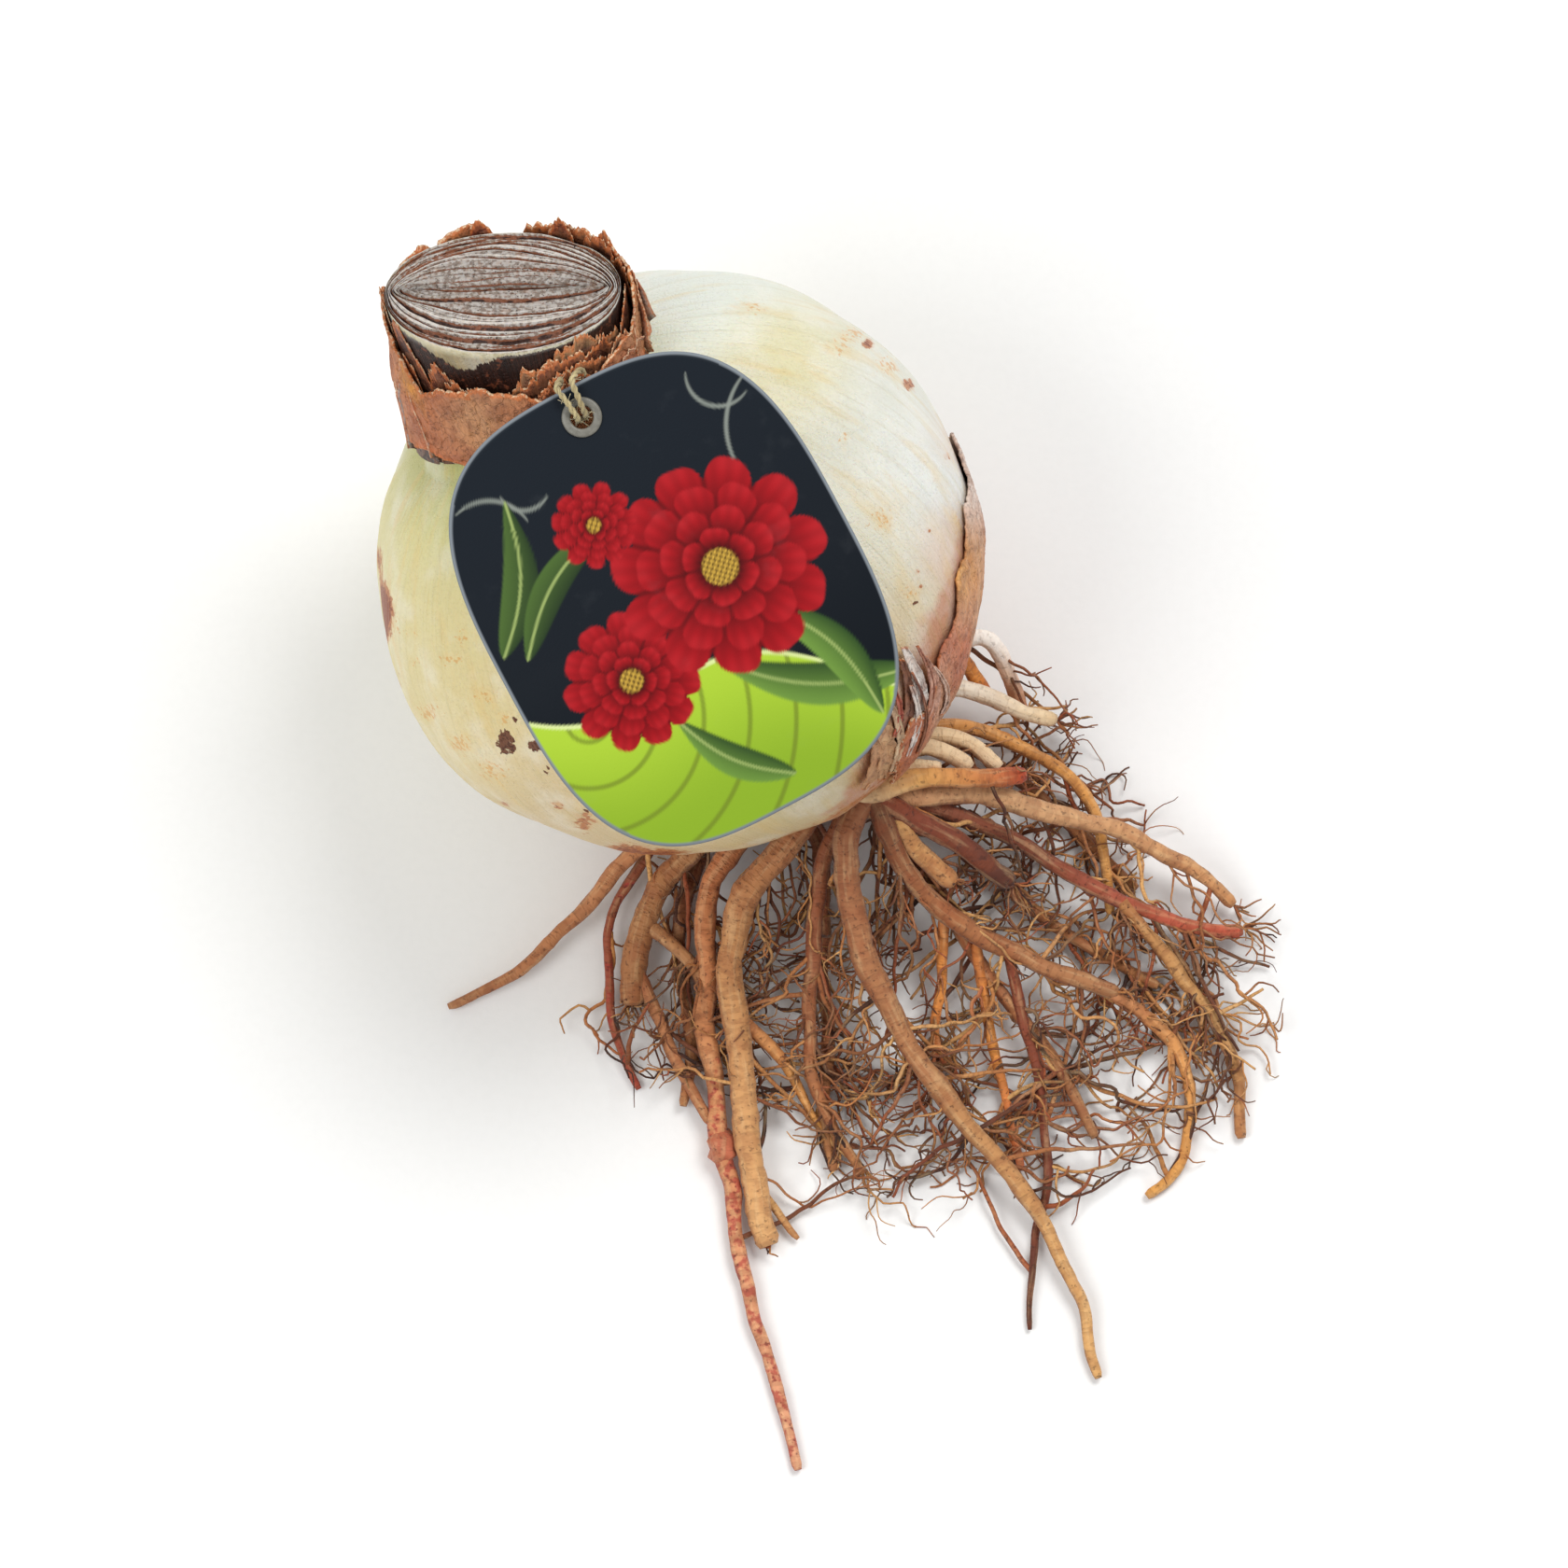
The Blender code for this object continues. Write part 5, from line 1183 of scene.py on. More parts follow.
@dataclass
class Strand:
    """A round strand, such as a root or a yarn: a line with a radius and a colour at each point."""

    line: list[Vector]
    radii: list[float]
    tones: list[Colour]
    sides: int = 8
    wrinkle: float = 0.0
    seed: float = 0.0
    shadow: Colour | None = None
    spots: Sequence[float] = ()

    def frames(self) -> list[tuple[Vector, Vector]]:
        """Two crosswise directions at each point, carried along the line without twist."""
        found = []
        last = len(self.line) - 1
        side = Vector((0.0, 0.0, 1.0))
        for index in range(last + 1):
            along = (self.line[min(last, index + 1)] - self.line[max(0, index - 1)]).normalized()
            side = side - along * side.dot(along)
            if side.length < 1e-4:
                side = along.orthogonal()
            side.normalize()
            found.append((side.copy(), along.cross(side)))
        return found

    def grow(self) -> Bush:
        """Closed tube along the line, its ends drawn in to a point."""
        mesh = bmesh.new()
        tone = mesh.verts.layers.float_color.new("tone")
        strand = mesh.verts.layers.float_vector.new("strand")
        spotted = mesh.verts.layers.float.new("spots")
        reach = [0.0]
        for before, here in zip(self.line, self.line[1:]):
            reach.append(reach[-1] + (here - before).length)
        stations = [0] + list(range(len(self.line))) + [len(self.line) - 1]
        frames, last = self.frames(), len(stations) - 1
        bmesh.ops.create_grid(mesh, x_segments=last, y_segments=self.sides, size=1.0)
        for vert in mesh.verts:
            station = round((vert.co.x + 1) / 2 * last)
            at = stations[station]
            angle = math.pi * (vert.co.y + 1)
            side, other = frames[at]
            way = side * math.cos(angle) + other * math.sin(angle)
            radius = 0.0 if station in (0, last) else self.radii[at]
            if self.wrinkle and radius:
                spot = Vector((math.cos(angle), math.sin(angle), reach[at] / (2.4 * MM) + self.seed))
                rings = noise.noise(Vector((self.seed, 0.3, reach[at] / (0.9 * MM))))
                swells = noise.noise(Vector((0.7, self.seed, reach[at] / (7 * MM))))
                radius *= 1 + self.wrinkle * (noise.noise(spot * 1.1) + 0.4 * rings + 1.3 * swells)
            vert.co = self.line[at] + way * radius
            vert[tone] = self.tones[at]
            vert[spotted] = self.spots[at] if self.spots else 0.0
            # Painted shade: the side of a strand turned from the key light, low and to the left, is mixed
            # towards its shadow colour
            if self.shadow:
                below = eased(-0.7 * way.z - 0.45 * way.x - 0.35 * way.y, -0.3, 0.7)
                vert[tone] = blended(self.tones[at], self.shadow, 0.7 * below)
            vert[strand] = Vector((math.cos(angle) * self.radii[at], math.sin(angle) * self.radii[at],
                                   reach[at] + self.seed * MM))
        close(mesh, 0.0005)
        return mesh


@dataclass
class Roots(SubAssembly):
    """The roots: corky plate, thick roots and their branches, and mats of fine rootlets."""

    bulb: Bulb
    plate_radius: float = 19.0 * MM
    plate_thickness: float = 5.0 * MM
    mating_gap: float = 0.3 * MM
    ring: float = 14.5 * MM
    inset: float = 4.0 * MM
    leave: tuple[float, float] = (2.5 * MM, 3.0 * MM)
    spacing: float = 6.0 * MM
    body_clearance: float = 1.6 * MM
    floor_gap: float = 0.05 * MM
    relax_passes: int = 3
    rootlets: int = 68
    rootlet_radius: float = 0.5 * MM
    rootlet_spacing: float = 4.5 * MM
    rootlet_reach: tuple[float, float] = (9.0 * MM, 26.0 * MM)
    rootlet_bends: int = 4
    rootlet_swing: float = 3.2 * MM
    rootlet_seed: int = 7
    # Mats of rootlets: middle and spread in mm, and each mat's share of them
    mats: tuple = (
        ((22, -60), 16, 5), ((38, -80), 13, 4), ((71, -70), 17, 6), ((60, -38), 16, 4), ((0, -64), 9, 2),
        ((88, -60), 8, 1), ((56, -17), 6, 1))
    # Rootlets in each mat, besides the frame's own
    net_counts: tuple = (66, 52, 62, 34, 20, 6, 8)
    net_radius: tuple[float, float] = (0.24 * MM, 0.42 * MM)
    net_hosts: tuple[float, float] = (5.0, 24.0)
    twig_every: float = 5.6 * MM
    twig_length: tuple[float, float] = (3.0, 10.0)
    fine_codes: tuple = ("#331A10", "#4A2818", "#6C3D22", "#8A5230", "#AC6C3C", "#CC8C4E", "#E0AA68",
                         "#A85630")
    # The stains take light from a dark tone, which starts by this share brighter in red, green and blue
    skin_gain: tuple[float, float, float] = (0.5, 0.34, 0.06)
    # Painted shade: share of the tone's red, green and blue on the side of a root turned away from the key
    # light, an orange-brown shade
    painted_underside_shade: tuple = (0.66, 0.36, 0.2, 1.0)
    sway: float = 0.9 * MM
    # Frayed ends: place in mm, count, and length of the fibres in mm
    frayed: tuple = (
        ((88.4, -47.8, 3), 9, 9), ((54.4, -26.3, 18), 7, 6), ((59.3, -16.3, 10), 8, 9),
        ((43, -42.7, 14), 16, 6), ((-7, -60, 3), 14, 5), ((68.5, -58.7, 6), 14, 8), ((14.5, -98, 2.2), 3, 3),
        ((52.3, -42.7, 12), 14, 8), ((68, -46, 4), 8, 8), ((87, -44.3, 3), 5, 7))
    knob: tuple = ((7.0, -82.5, 2.9), 1.9)
    lines: list = field(default_factory=list)

    def clear(self, point: Vector, radius: float) -> Vector:
        """The point moved, where it must be, out of the body and above the surface."""
        away = point - self.bulb.centre
        limit = self.bulb.radius + self.body_clearance + radius
        beside = away.dot(self.bulb.axis) > self.bulb.bottom - radius - self.mating_gap
        if away.length < limit and beside:
            point = self.bulb.centre + away.normalized() * limit
        return Vector((point.x, point.y, max(point.z, radius + self.floor_gap)))

    def kept(self, point: Vector, size: float) -> Vector:
        """The point of a thin strand, above the surface and hardly past the frame's own side."""
        past = point.x - CAD_BOX[1].x
        across = CAD_BOX[1].x + 2.4 * MM * (1 - math.exp(-past / (2.4 * MM))) if past > 0 else point.x
        return Vector((across, point.y, max(point.z, size + self.floor_gap)))

    def start_route(self, root: Root) -> list[Vector]:
        """A root's points: out of the plate at its turn, then along its own route."""
        route = [Vector(point) * MM for point in root.route]
        if root.turn is None:
            return route
        turn = math.radians(root.turn)
        level = self.bulb.axis.cross(Vector((0, 0, 1))).normalized()
        steep = level.cross(self.bulb.axis).normalized()
        outward = level * math.cos(turn) + steep * math.sin(turn)
        deep = self.bulb.bottom - self.mating_gap - self.plate_thickness * 0.5
        foot = self.bulb.centre + self.bulb.axis * deep
        inside = foot + outward * (self.ring - self.inset)
        edge = foot + outward * (self.ring + self.leave[0]) - self.bulb.axis * self.leave[1]
        return [inside, edge] + route

    def laid(self, points: Sequence[Vector], radius: float, tip: float, spacing: float) -> list[Vector]:
        """The root's line as it lies: smooth, out of the body and above the surface."""
        line = smooth_route(points, spacing)
        last = len(line) - 1
        radii = [radius + (tip - radius) * (index / last) ** 1.2 for index in range(last + 1)]
        for _ in range(self.relax_passes):
            line = line[:2] + [self.clear(point, size) for point, size in zip(line[2:], radii[2:])]
            triples = zip(line, line[1:], line[2:])
            middles = [(before + here * 2 + after) / 4 for before, here, after in triples]
            line = line[:1] + middles + line[-1:]
        return line[:2] + [self.clear(point, size) for point, size in zip(line[2:], radii[2:])]

    def thick_strand(self, root: Root, seed: float) -> Strand:
        """A thick root or a branch as a strand."""
        coarse = self.laid(self.start_route(root), root.radius * MM, root.tip * MM, self.spacing)
        self.lines.append(coarse)
        line = smooth_route(coarse, 0.9 * MM)
        last = len(line) - 1
        for index in range(6, last + 1):
            spot = line[index] / (9 * MM) + Vector((seed, 0, 0))
            sway = Vector((noise.noise(spot), noise.noise(spot.yzx), 0.4 * noise.noise(spot.zxy)))
            line[index] = self.clear(line[index] + sway * self.sway * eased(index, 6, 14), root.tip * MM)
        codes = [linear(code) for code in root.tone.value]
        spans = len(codes) - 1
        # Painted shade colour for the side of the root turned from the key light
        under = tuple(part * dimmed for part, dimmed in zip(codes[1], self.painted_underside_shade))
        radii, tones, spots = [], [], []
        for index in range(last + 1):
            share = index / last
            spots.append(root.spots * eased(share, 0.25, 0.6))
            radii.append((root.radius + (root.tip - root.radius) * share ** 1.2) * MM)
            first = min(int(share * spans), spans - 1)
            tone = blended(codes[first], codes[first + 1], share * spans - first)
            dark = 1 - min(1.0, 1.3 * tone[1])
            tones.append((*[part * (1 + gain * dark) for part, gain in zip(tone, self.skin_gain)], 1.0))
        radii[0] *= 0.9
        radii[-1] *= 0.72
        return Strand(line, radii, tones, 16, 0.14, seed, under, spots)

    def rootlet_strands(self) -> list[Strand]:
        """The frame's own rootlets, finer: each leaves a thick root and wanders to a place in a mat."""
        draw = random.Random(self.rootlet_seed)
        hosts = [point for line in self.lines for point in line[2:-1]]
        shares = [mat[2] for mat in self.mats]
        strands = []
        for index in range(self.rootlets):
            (x, y), spread, _ = draw.choices(self.mats, shares)[0]
            angle, reach = draw.uniform(0, FULL_TURN), spread * math.sqrt(draw.random())
            goal = Vector((x + reach * math.cos(angle), y + reach * math.sin(angle),
                           draw.uniform(1.0, 5.0))) * MM
            low, high = self.rootlet_reach
            near = [point for point in hosts if low < (point.xy - goal.xy).length < high]
            start = draw.choice(near)
            side = (goal - start).cross(Vector((0, 0, 1))).normalized()
            points = [start]
            for step in range(1, self.rootlet_bends + 1):
                share = step / self.rootlet_bends
                swing = side * draw.uniform(-self.rootlet_swing, self.rootlet_swing)
                lift = Vector((0, 0, draw.uniform(-1.0, 1.5) * MM))
                points.append(start.lerp(goal, share) + swing + lift)
            coarse = self.laid(points, self.rootlet_radius, self.rootlet_radius * 0.7, self.rootlet_spacing)
            shade = index % len(self.fine_codes)
            strands.append(self.fine_strand(coarse, self.rootlet_radius * 0.9, index, 0.25 * MM, 8, shade))
        return strands

    def fine_strand(self, points: Sequence[Vector], radius: float, index: int, curl: float, sides: int,
                    shade: int) -> Strand:
        """A thin strand along the points, with short curls.

        Args:
            points: Its way in metres.
            radius: Its radius at the start.
            index: Number that sets its colour and its curls.
            curl: How far it strays from the way.
            sides: Faces round it.
            shade: Number of its colour.

        Returns:
            The strand.
        """
        line = smooth_route(points, 0.85 * MM)
        last = len(line) - 1
        draw = random.Random(index * 7 + 11)
        near, far = linear(self.fine_codes[shade]), linear(draw.choice(self.fine_codes))
        curled, radii, tones = [], [], []
        for step, point in enumerate(line):
            share = step / max(1, last)
            spot = point / (3.1 * MM) + Vector((index * 3.7, 0, 0))
            aside = noise.noise(spot.yzx + Vector((9, 0, 0)))
            stray = Vector((noise.noise(spot), aside, noise.noise(spot.zxy)))
            size = radius * (1 - 0.5 * share)
            moved = point + stray * curl * 2 * min(1.0, share * 6)
            curled.append(self.kept(self.clear(moved, size) if share > 0.1 else moved, size))
            radii.append(size)
            tones.append(blended(near, far, 0.7 * share))
        # The fine strands' painted shade is three tenths of their colour
        return Strand(curled, radii, tones, sides, 0.0, index % 97, tuple(part * 0.3 for part in near))

    def net_strands(self, number: int) -> list[Strand]:
        """Rootlets of one mat, which grow away from the plate, each with its side twigs."""
        (x, y), spread, _ = self.mats[number]
        draw = random.Random(100 + number)
        plate = self.bulb.centre + self.bulb.axis * self.bulb.bottom
        hosts = [point for line in self.lines for point in line[2:-1]]
        low, high = self.net_hosts
        strands = []
        for index in range(self.net_counts[number]):
            angle, off = draw.uniform(0, FULL_TURN), (spread + 2) * math.sqrt(draw.random())
            goal = Vector((x + off * math.cos(angle), y + off * math.sin(angle),
                           draw.uniform(0.4, 5.0))) * MM
            near = [point for point in hosts if low < (point.xy - goal.xy).length / MM < high
                    and (point.xy - plate.xy).length < (goal.xy - plate.xy).length]
            if not near:
                continue
            start = draw.choice(near)
            reach = (goal - start).length
            outward = (start - plate).normalized() * reach * draw.uniform(0.0, 0.5)
            points = [start]
            for step in (0.2, 0.4, 0.6, 0.8, 1.0):
                jitter = Vector([draw.gauss(0, 1.0) for _ in range(3)]) * reach * 0.05
                points.append(start.lerp(goal, step) + outward * step * (1 - step) * 2 + jitter)
            code = draw.randrange(len(self.fine_codes))
            radius = draw.uniform(*self.net_radius)
            key = number * 1000 + index
            main = self.fine_strand(points, radius, key, draw.uniform(0.3, 0.8) * MM, 6, code)
            strands += [main] + self.twigs(main, key, code, draw)
        return strands

    def twigs(self, main: Strand, key: int, code: int, draw: random.Random) -> list[Strand]:
        """Thin curly twigs along a rootlet."""
        strands = []
        count = max(2, round(len(main.line) * 0.85 * MM / self.twig_every))
        for number in range(count):
            at = draw.randrange(1, len(main.line) - 1)
            along = (main.line[at + 1] - main.line[at - 1]).normalized()
            side = draw.choice((-1, 1))
            turn = Matrix.Rotation(side * math.radians(draw.uniform(25, 75)), 3, "Z")
            way = (turn @ along + Vector((0, 0, draw.uniform(-0.3, 0.4)))).normalized()
            bend = Matrix.Rotation(-side * math.radians(draw.uniform(-25, 40)), 3, "Z")
            step = draw.uniform(*self.twig_length) / 4 * MM
            points = [main.line[at]]
            for _ in range(4):
                points.append(points[-1] + way * step)
                way = (bend @ way + Vector([draw.gauss(0, 0.25) for _ in range(3)])).normalized()
                way.z -= 0.1
            shade = min(len(self.fine_codes) - 1, max(0, code + draw.choice((-1, 0, 0, 1))))
            radius = min(main.radii[at] * 0.8, 0.24 * MM)
            strands.append(self.fine_strand(points, radius, key * 31 + number, 0.45 * MM, 5, shade))
        return strands

    def frayed_strands(self) -> list[Strand]:
        """Curly fibres at the broken ends."""
        draw = random.Random(77)
        strands = []
        for place, count, length in self.frayed:
            base = Vector(place) * MM
            outward = Vector((base.x - 30 * MM, base.y + 20 * MM, -0.2 * base.z)).normalized()
            for _ in range(count):
                way = (outward + Vector([draw.uniform(-0.8, 0.8) for _ in range(3)])).normalized()
                points = [base]
                for _ in range(4):
                    way = (way + Vector([draw.uniform(-0.6, 0.6) for _ in range(3)])).normalized()
                    points.append(points[-1] + way * length * draw.uniform(0.5, 1.0) * MM / 4)
                shade = draw.randrange(len(self.fine_codes))
                strands.append(self.fine_strand(points, 0.22 * MM, 9000 + len(strands), 0.5 * MM, 5, shade))
        return strands

    def plate(self) -> Bush:
        """The corky basal plate: a turned profile with a rough rind."""
        mesh = bmesh.new()
        tone = mesh.verts.layers.float_color.new("tone")
        strand = mesh.verts.layers.float_vector.new("strand")
        top = self.bulb.bottom - self.mating_gap
        wide, deep = self.plate_radius, self.plate_thickness
        profile = [(0.0, top), (wide, top), (wide, top - deep * 0.35), (wide * 0.82, top - deep),
                   (0.0, top - deep * 1.25)]
        verts = [mesh.verts.new((x, 0.0, z)) for x, z in profile]
        edges = [mesh.edges.new(pair) for pair in zip(verts, verts[1:])]
        bmesh.ops.subdivide_edges(mesh, edges=edges, cuts=7)
        turn_profile(mesh, 96)
        for vert in mesh.verts:
            vert[strand] = vert.co.copy()
            rough = noise.fractal(vert.co / (3 * MM), 0.8, 2.0, 3)
            vert[tone] = blended(linear("#6B4430"), linear("#A67C54"), 0.5 + rough * 0.7)
            if vert.co.z < top - 0.2 * MM:
                vert.co += vert.co.normalized() * min(0.0, rough) * 0.9 * MM
            vert.co = self.bulb.placed(vert.co)
        return mesh

    def build(self) -> None:
        """Grows and dresses the roots."""
        # Root velvet is matt and slightly fuzzy
        finish = RootSkin("root velvet", roughness=0.68, ior=1.42, relief=0.2, sheen=0.12)
        strands = [self.thick_strand(root, seed * 5.3) for seed, root in enumerate(THICK_ROOTS.values())]
        strands += [self.thick_strand(root, 200 + seed * 5.3) for seed, root in enumerate(BRANCHES.values())]
        place, radius = self.knob
        lump = Vector(place) * MM
        ends = [lump + Vector((0, off, 0)) * MM for off in (-2.6, -1.6, -0.5, 0.6, 1.7, 2.8)]
        sizes = [radius * MM * share for share in (0.6, 1.0, 0.85, 1.1, 0.8, 0.5)]
        strands.append(Strand(smooth_route(ends, 2 * MM), sizes, [linear("#C87050")] * 6, 16, 0.35, 3.0))
        meshes = [self.plate()] + [strand.grow() for strand in strands]
        self.settle("thick_roots", merged(meshes), [finish], "root_skin", ["roots"])
        coarse = [strand.grow() for strand in self.rootlet_strands() + self.frayed_strands()]
        self.settle("rootlets", merged(coarse), [finish], "root_skin")
        groups = {"left": (0, 4), "front": (1, 5), "right": (2,), "side": (3, 6)}
        for name, numbers in groups.items():
            meshes = [strand.grow() for number in numbers for strand in self.net_strands(number)]
            self.settle(f"fine_roots_{name}", merged(meshes), [finish], "root_skin")


def cover(depth: float, soft: float = 0.2) -> float:
    """Share of a spot that a printed shape covers, at this depth inside its edge in mm."""
    return eased(depth, -soft, soft)


@dataclass
class Rosette:
    """A printed flower head in rings of blunt petals: place and size in mm, turn in degrees."""

    x: float
    y: float
    size: float
    turn: float
    rings: tuple = ((1.0, 11), (0.78, 10), (0.56, 8), (0.36, 6))

    def over(self, tone: Colour, x: float, y: float) -> Colour:
        """Colour at a point of the card, over the colour below."""
        dx, dy = x - self.x, y - self.y
        off, angle = math.hypot(dx, dy), math.atan2(dy, dx) + math.radians(self.turn)
        if off > self.size * 1.1:
            return tone
        for ring, (reach, count) in enumerate(self.rings):
            number = (angle + 0.3 * ring) * count / FULL_TURN
            aside = abs(number - math.floor(number) - 0.5) * 2
            edge = self.size * reach * (1 - 0.2 * aside ** 3 + 0.02 * math.sin(9 * angle + ring))
            near = off / (self.size * reach)
            petal = blended(linear("#3A0609"), linear("#A3141C"), eased(near, 0.45, 0.92))
            petal = blended(petal, linear("#C22A30"), 0.5 * eased(near, 0.8, 0.98) * (1 - aside))
            petal = blended(petal, linear("#4E0A0E"), 0.75 * eased(aside, 0.8, 1.0))
            petal = blended(petal, linear("#7C0F15"), 0.35 * (0.5 + 0.5 * math.cos(aside * 11)))
            tone = blended(tone, petal, cover(edge - off))
        heart = self.size * 0.17
        grain = 0.5 + 0.5 * math.sin(dx * 6.1) * math.sin(dy * 6.1)
        return blended(tone, blended(linear("#2A0A08"), linear("#D9B048"), grain), cover(heart - off))


@dataclass
class Leaf:
    """A printed leaf: its foot, length and width in mm, heading in degrees, and bend in mm."""

    x: float
    y: float
    heading: float
    length: float
    width: float
    bend: float
    codes: tuple[str, str] = ("#2F4A24", "#6F9440")

    def over(self, tone: Colour, x: float, y: float) -> Colour:
        """Colour at a point of the card, over the colour below."""
        turn = math.radians(self.heading)
        dx, dy = x - self.x, y - self.y
        along = (dx * math.cos(turn) + dy * math.sin(turn)) / self.length
        if not 0 < along < 1:
            return tone
        across = dy * math.cos(turn) - dx * math.sin(turn) - self.bend * math.sin(math.pi * along)
        half = self.width / 2 * math.sin(math.pi * along ** 0.8) ** 0.8
        green = blended(linear(self.codes[0]), linear(self.codes[1]), 0.5 + 0.5 * across / max(half, 0.1))
        green = blended(green, linear("#B5C878"), 0.6 * cover(0.22 - abs(across), 0.15))
        return blended(tone, green, cover(half - abs(across)))


@dataclass
class HangTag(SubAssembly):
    """The hang tag: a bent barrel-shaped card with a generic flower print, and the ring in its hole."""

    bulb: Bulb
    half: tuple[float, float] = (28.8 * MM, 35.8 * MM)
    thickness: float = 0.7 * MM
    squareness: float = 3.1
    turn: float = 28.0
    tilt: float = 12.0
    shift: tuple[float, float] = (0.0, -5.0 * MM)
    mating_gap: float = 0.3 * MM
    sag_start: float = -2.0 * MM
    sag_radius: float = 70.0 * MM
    top_slope: float = 0.03
    hole: tuple[float, float] = (0.6 * MM, 30.8 * MM)
    hole_radius: float = 2.35 * MM
    steps: tuple[int, int] = (188, 234)
    bore: float = 1.75 * MM
    ring_rim: float = 3.1 * MM
    ring_wall: float = 0.3 * MM
    ring_gap: float = 0.12 * MM
    shapes: tuple = (
        Leaf(27, -26, 150, 30, 6.5, 3.0), Leaf(20, -30, 112, 26, 6.0, -3.0), Leaf(4, -32, 128, 20, 5.0, 2.0),
        Leaf(-27, 4, 62, 24, 5.5, -2.5, ("#26381F", "#4B662F")),
        Leaf(-24, 2, 30, 26, 5.0, 3.0, ("#26381F", "#4B662F")), Rosette(-11.5, -8.0, 10.5, 10),
        Rosette(8.5, 1.0, 16.5, 25), Rosette(-5.5, 15.5, 6.5, 0))
    arcs: tuple = (
        (30, 14, 12, 110, 190), (22, 27, 5, 150, 300), (-21, 20, 7, 5, 110), (-12, 26, 4, 180, 310))

    def __post_init__(self) -> None:
        """Works out the card's place on the body."""
        tilt = Euler((math.radians(self.tilt), 0, 0)).to_matrix()
        lift = self.bulb.radius + self.mating_gap + self.thickness / 2 + 0.1 * MM
        spot = self.bulb.centre + tilt @ Vector((*self.shift, lift))
        turned = Matrix.Rotation(math.radians(self.turn), 4, "Z")
        self.placed = Matrix.Translation(spot) @ tilt.to_4x4() @ turned

    def height(self, y: float) -> float:
        """Height of the card's middle: straight above, sagging towards its lower edge."""
        low = max(0.0, self.sag_start - y)
        return self.top_slope * max(0.0, y) - low * low / (2 * self.sag_radius)

    def outline(self, angle: float) -> float:
        """Outline radius of the barrel-shaped card in this direction."""
        x, y = abs(math.cos(angle)) / self.half[0], abs(math.sin(angle)) / self.half[1]
        return (x ** self.squareness + y ** self.squareness) ** (-1 / self.squareness)

    def print_at(self, x: float, y: float, edge: float) -> Colour:
        """Ink at a point of the card, in mm, and this share of the way to its edge."""
        tone = blended(linear("#12171D"), linear("#161D25"), eased(y, -30, 34))
        for cx, cy, radius, start, end in self.arcs:
            off, angle = math.hypot(x - cx, y - cy), math.degrees(math.atan2(y - cy, x - cx)) % 360
            if start < angle < end:
                half = 0.3 * math.sin(math.pi * (angle - start) / (end - start)) ** 0.5
                tone = blended(tone, linear("#868C84"), cover(half - abs(off - radius)) * 0.9)
        hill = -15 + 6 * math.sin((x + 8) / 10) - 0.5 * x
        lime = blended(linear("#A9CA38"), linear("#8DB02C"), eased(hill - y, 0, 20))
        swirl = abs(math.hypot(x + 20, y + 10) % 7 - 3.5)
        lime = blended(lime, linear("#6F7F28"), 0.7 * cover(0.35 - swirl))
        tone = blended(tone, blended(lime, linear("#D6E39A"), cover(0.7 - (hill - y))), cover(hill - y))
        for shape in self.shapes:
            tone = shape.over(tone, x, y)
        return blended(tone, linear("#7F868C"), eased(edge, 0.982, 0.99))

    def card(self) -> Bush:
        """The card: a bent sheet with its print as a colour at each point, and a round hole."""
        mesh = bmesh.new()
        tone = mesh.verts.layers.float_color.new("tone")
        bmesh.ops.create_grid(mesh, x_segments=self.steps[0], y_segments=self.steps[1], size=1.0)
        inside = []
        for vert in mesh.verts:
            reach = max(abs(vert.co.x), abs(vert.co.y))
            angle = math.atan2(vert.co.y * self.half[1], vert.co.x * self.half[0])
            size = reach * self.outline(angle)
            x, y = size * math.cos(angle), size * math.sin(angle)
            off = Vector((x - self.hole[0], y - self.hole[1]))
            if off.length < self.hole_radius - 0.15 * MM:
                inside.append(vert)
            elif off.length < self.hole_radius + 0.2 * MM:
                x, y = Vector(self.hole) + off.normalized() * self.hole_radius
            vert.co = (x, y, self.height(y))
            vert[tone] = self.print_at(x / MM, y / MM, reach)
        bmesh.ops.delete(mesh, geom=inside, context="VERTS")
        bmesh.ops.recalc_face_normals(mesh, faces=mesh.faces)
        mesh.transform(self.placed)
        return mesh

    def ring(self) -> Bush:
        """The turned ring: a rolled lip on both faces and a barrel through the hole."""
        inner = self.thickness / 2 + self.ring_gap
        outer = inner + self.ring_wall
        bore, barrel, rim = self.bore, self.bore + self.ring_wall, self.ring_rim
        half = [(bore, 0.0), (bore, outer * 0.7), (bore + 0.12 * MM, outer * 0.93), (bore + 0.3 * MM, outer),
                (rim - 0.35 * MM, outer), (rim - 0.08 * MM, outer - 0.1 * MM), (rim, inner + 0.02 * MM),
                (rim - 0.1 * MM, inner), (barrel, inner)]
        profile = half + [(x, -z) for x, z in reversed(half[1:])]
        mesh = bmesh.new()
        verts = [mesh.verts.new((x, 0.0, z)) for x, z in profile]
        for pair in zip(verts, verts[1:] + verts[:1]):
            mesh.edges.new(pair)
        turn_profile(mesh, 72)
        mesh.transform(self.placed @ Matrix.Translation((*self.hole, self.height(self.hole[1]))))
        return mesh

    def build(self) -> None:
        """Grows and dresses the card and its ring."""
        # Varnished print mirrors softly, near 0.3 rough; the cut edge and the back are bare board
        face = PrintedCard("varnished card print", roughness=0.4, ior=1.22, relief=0.02)
        board = Plain("bare paperboard", 0.8, 1.5, 0.03, code="#DADBD4", shade="#9C9C94", grain=0.4)
        card = self.settle("card", self.card(), [face, board, board], "printed_card", ["tag"])
        wall = self.thicken(card, self.thickness)
        wall.material_offset, wall.material_offset_rim = 1, 2
        # Moulded polythene is waxy and slightly see-through at its lip
        plastic = Plain("moulded polythene ring", 0.42, 1.51, 0.02, code="#7C7A70", shade="#4E4A40",
                        grain=0.8, strength=0.35)
        self.settle("hole_ring", self.ring(), [plastic], "eyelet_ring", ["eyelet"])


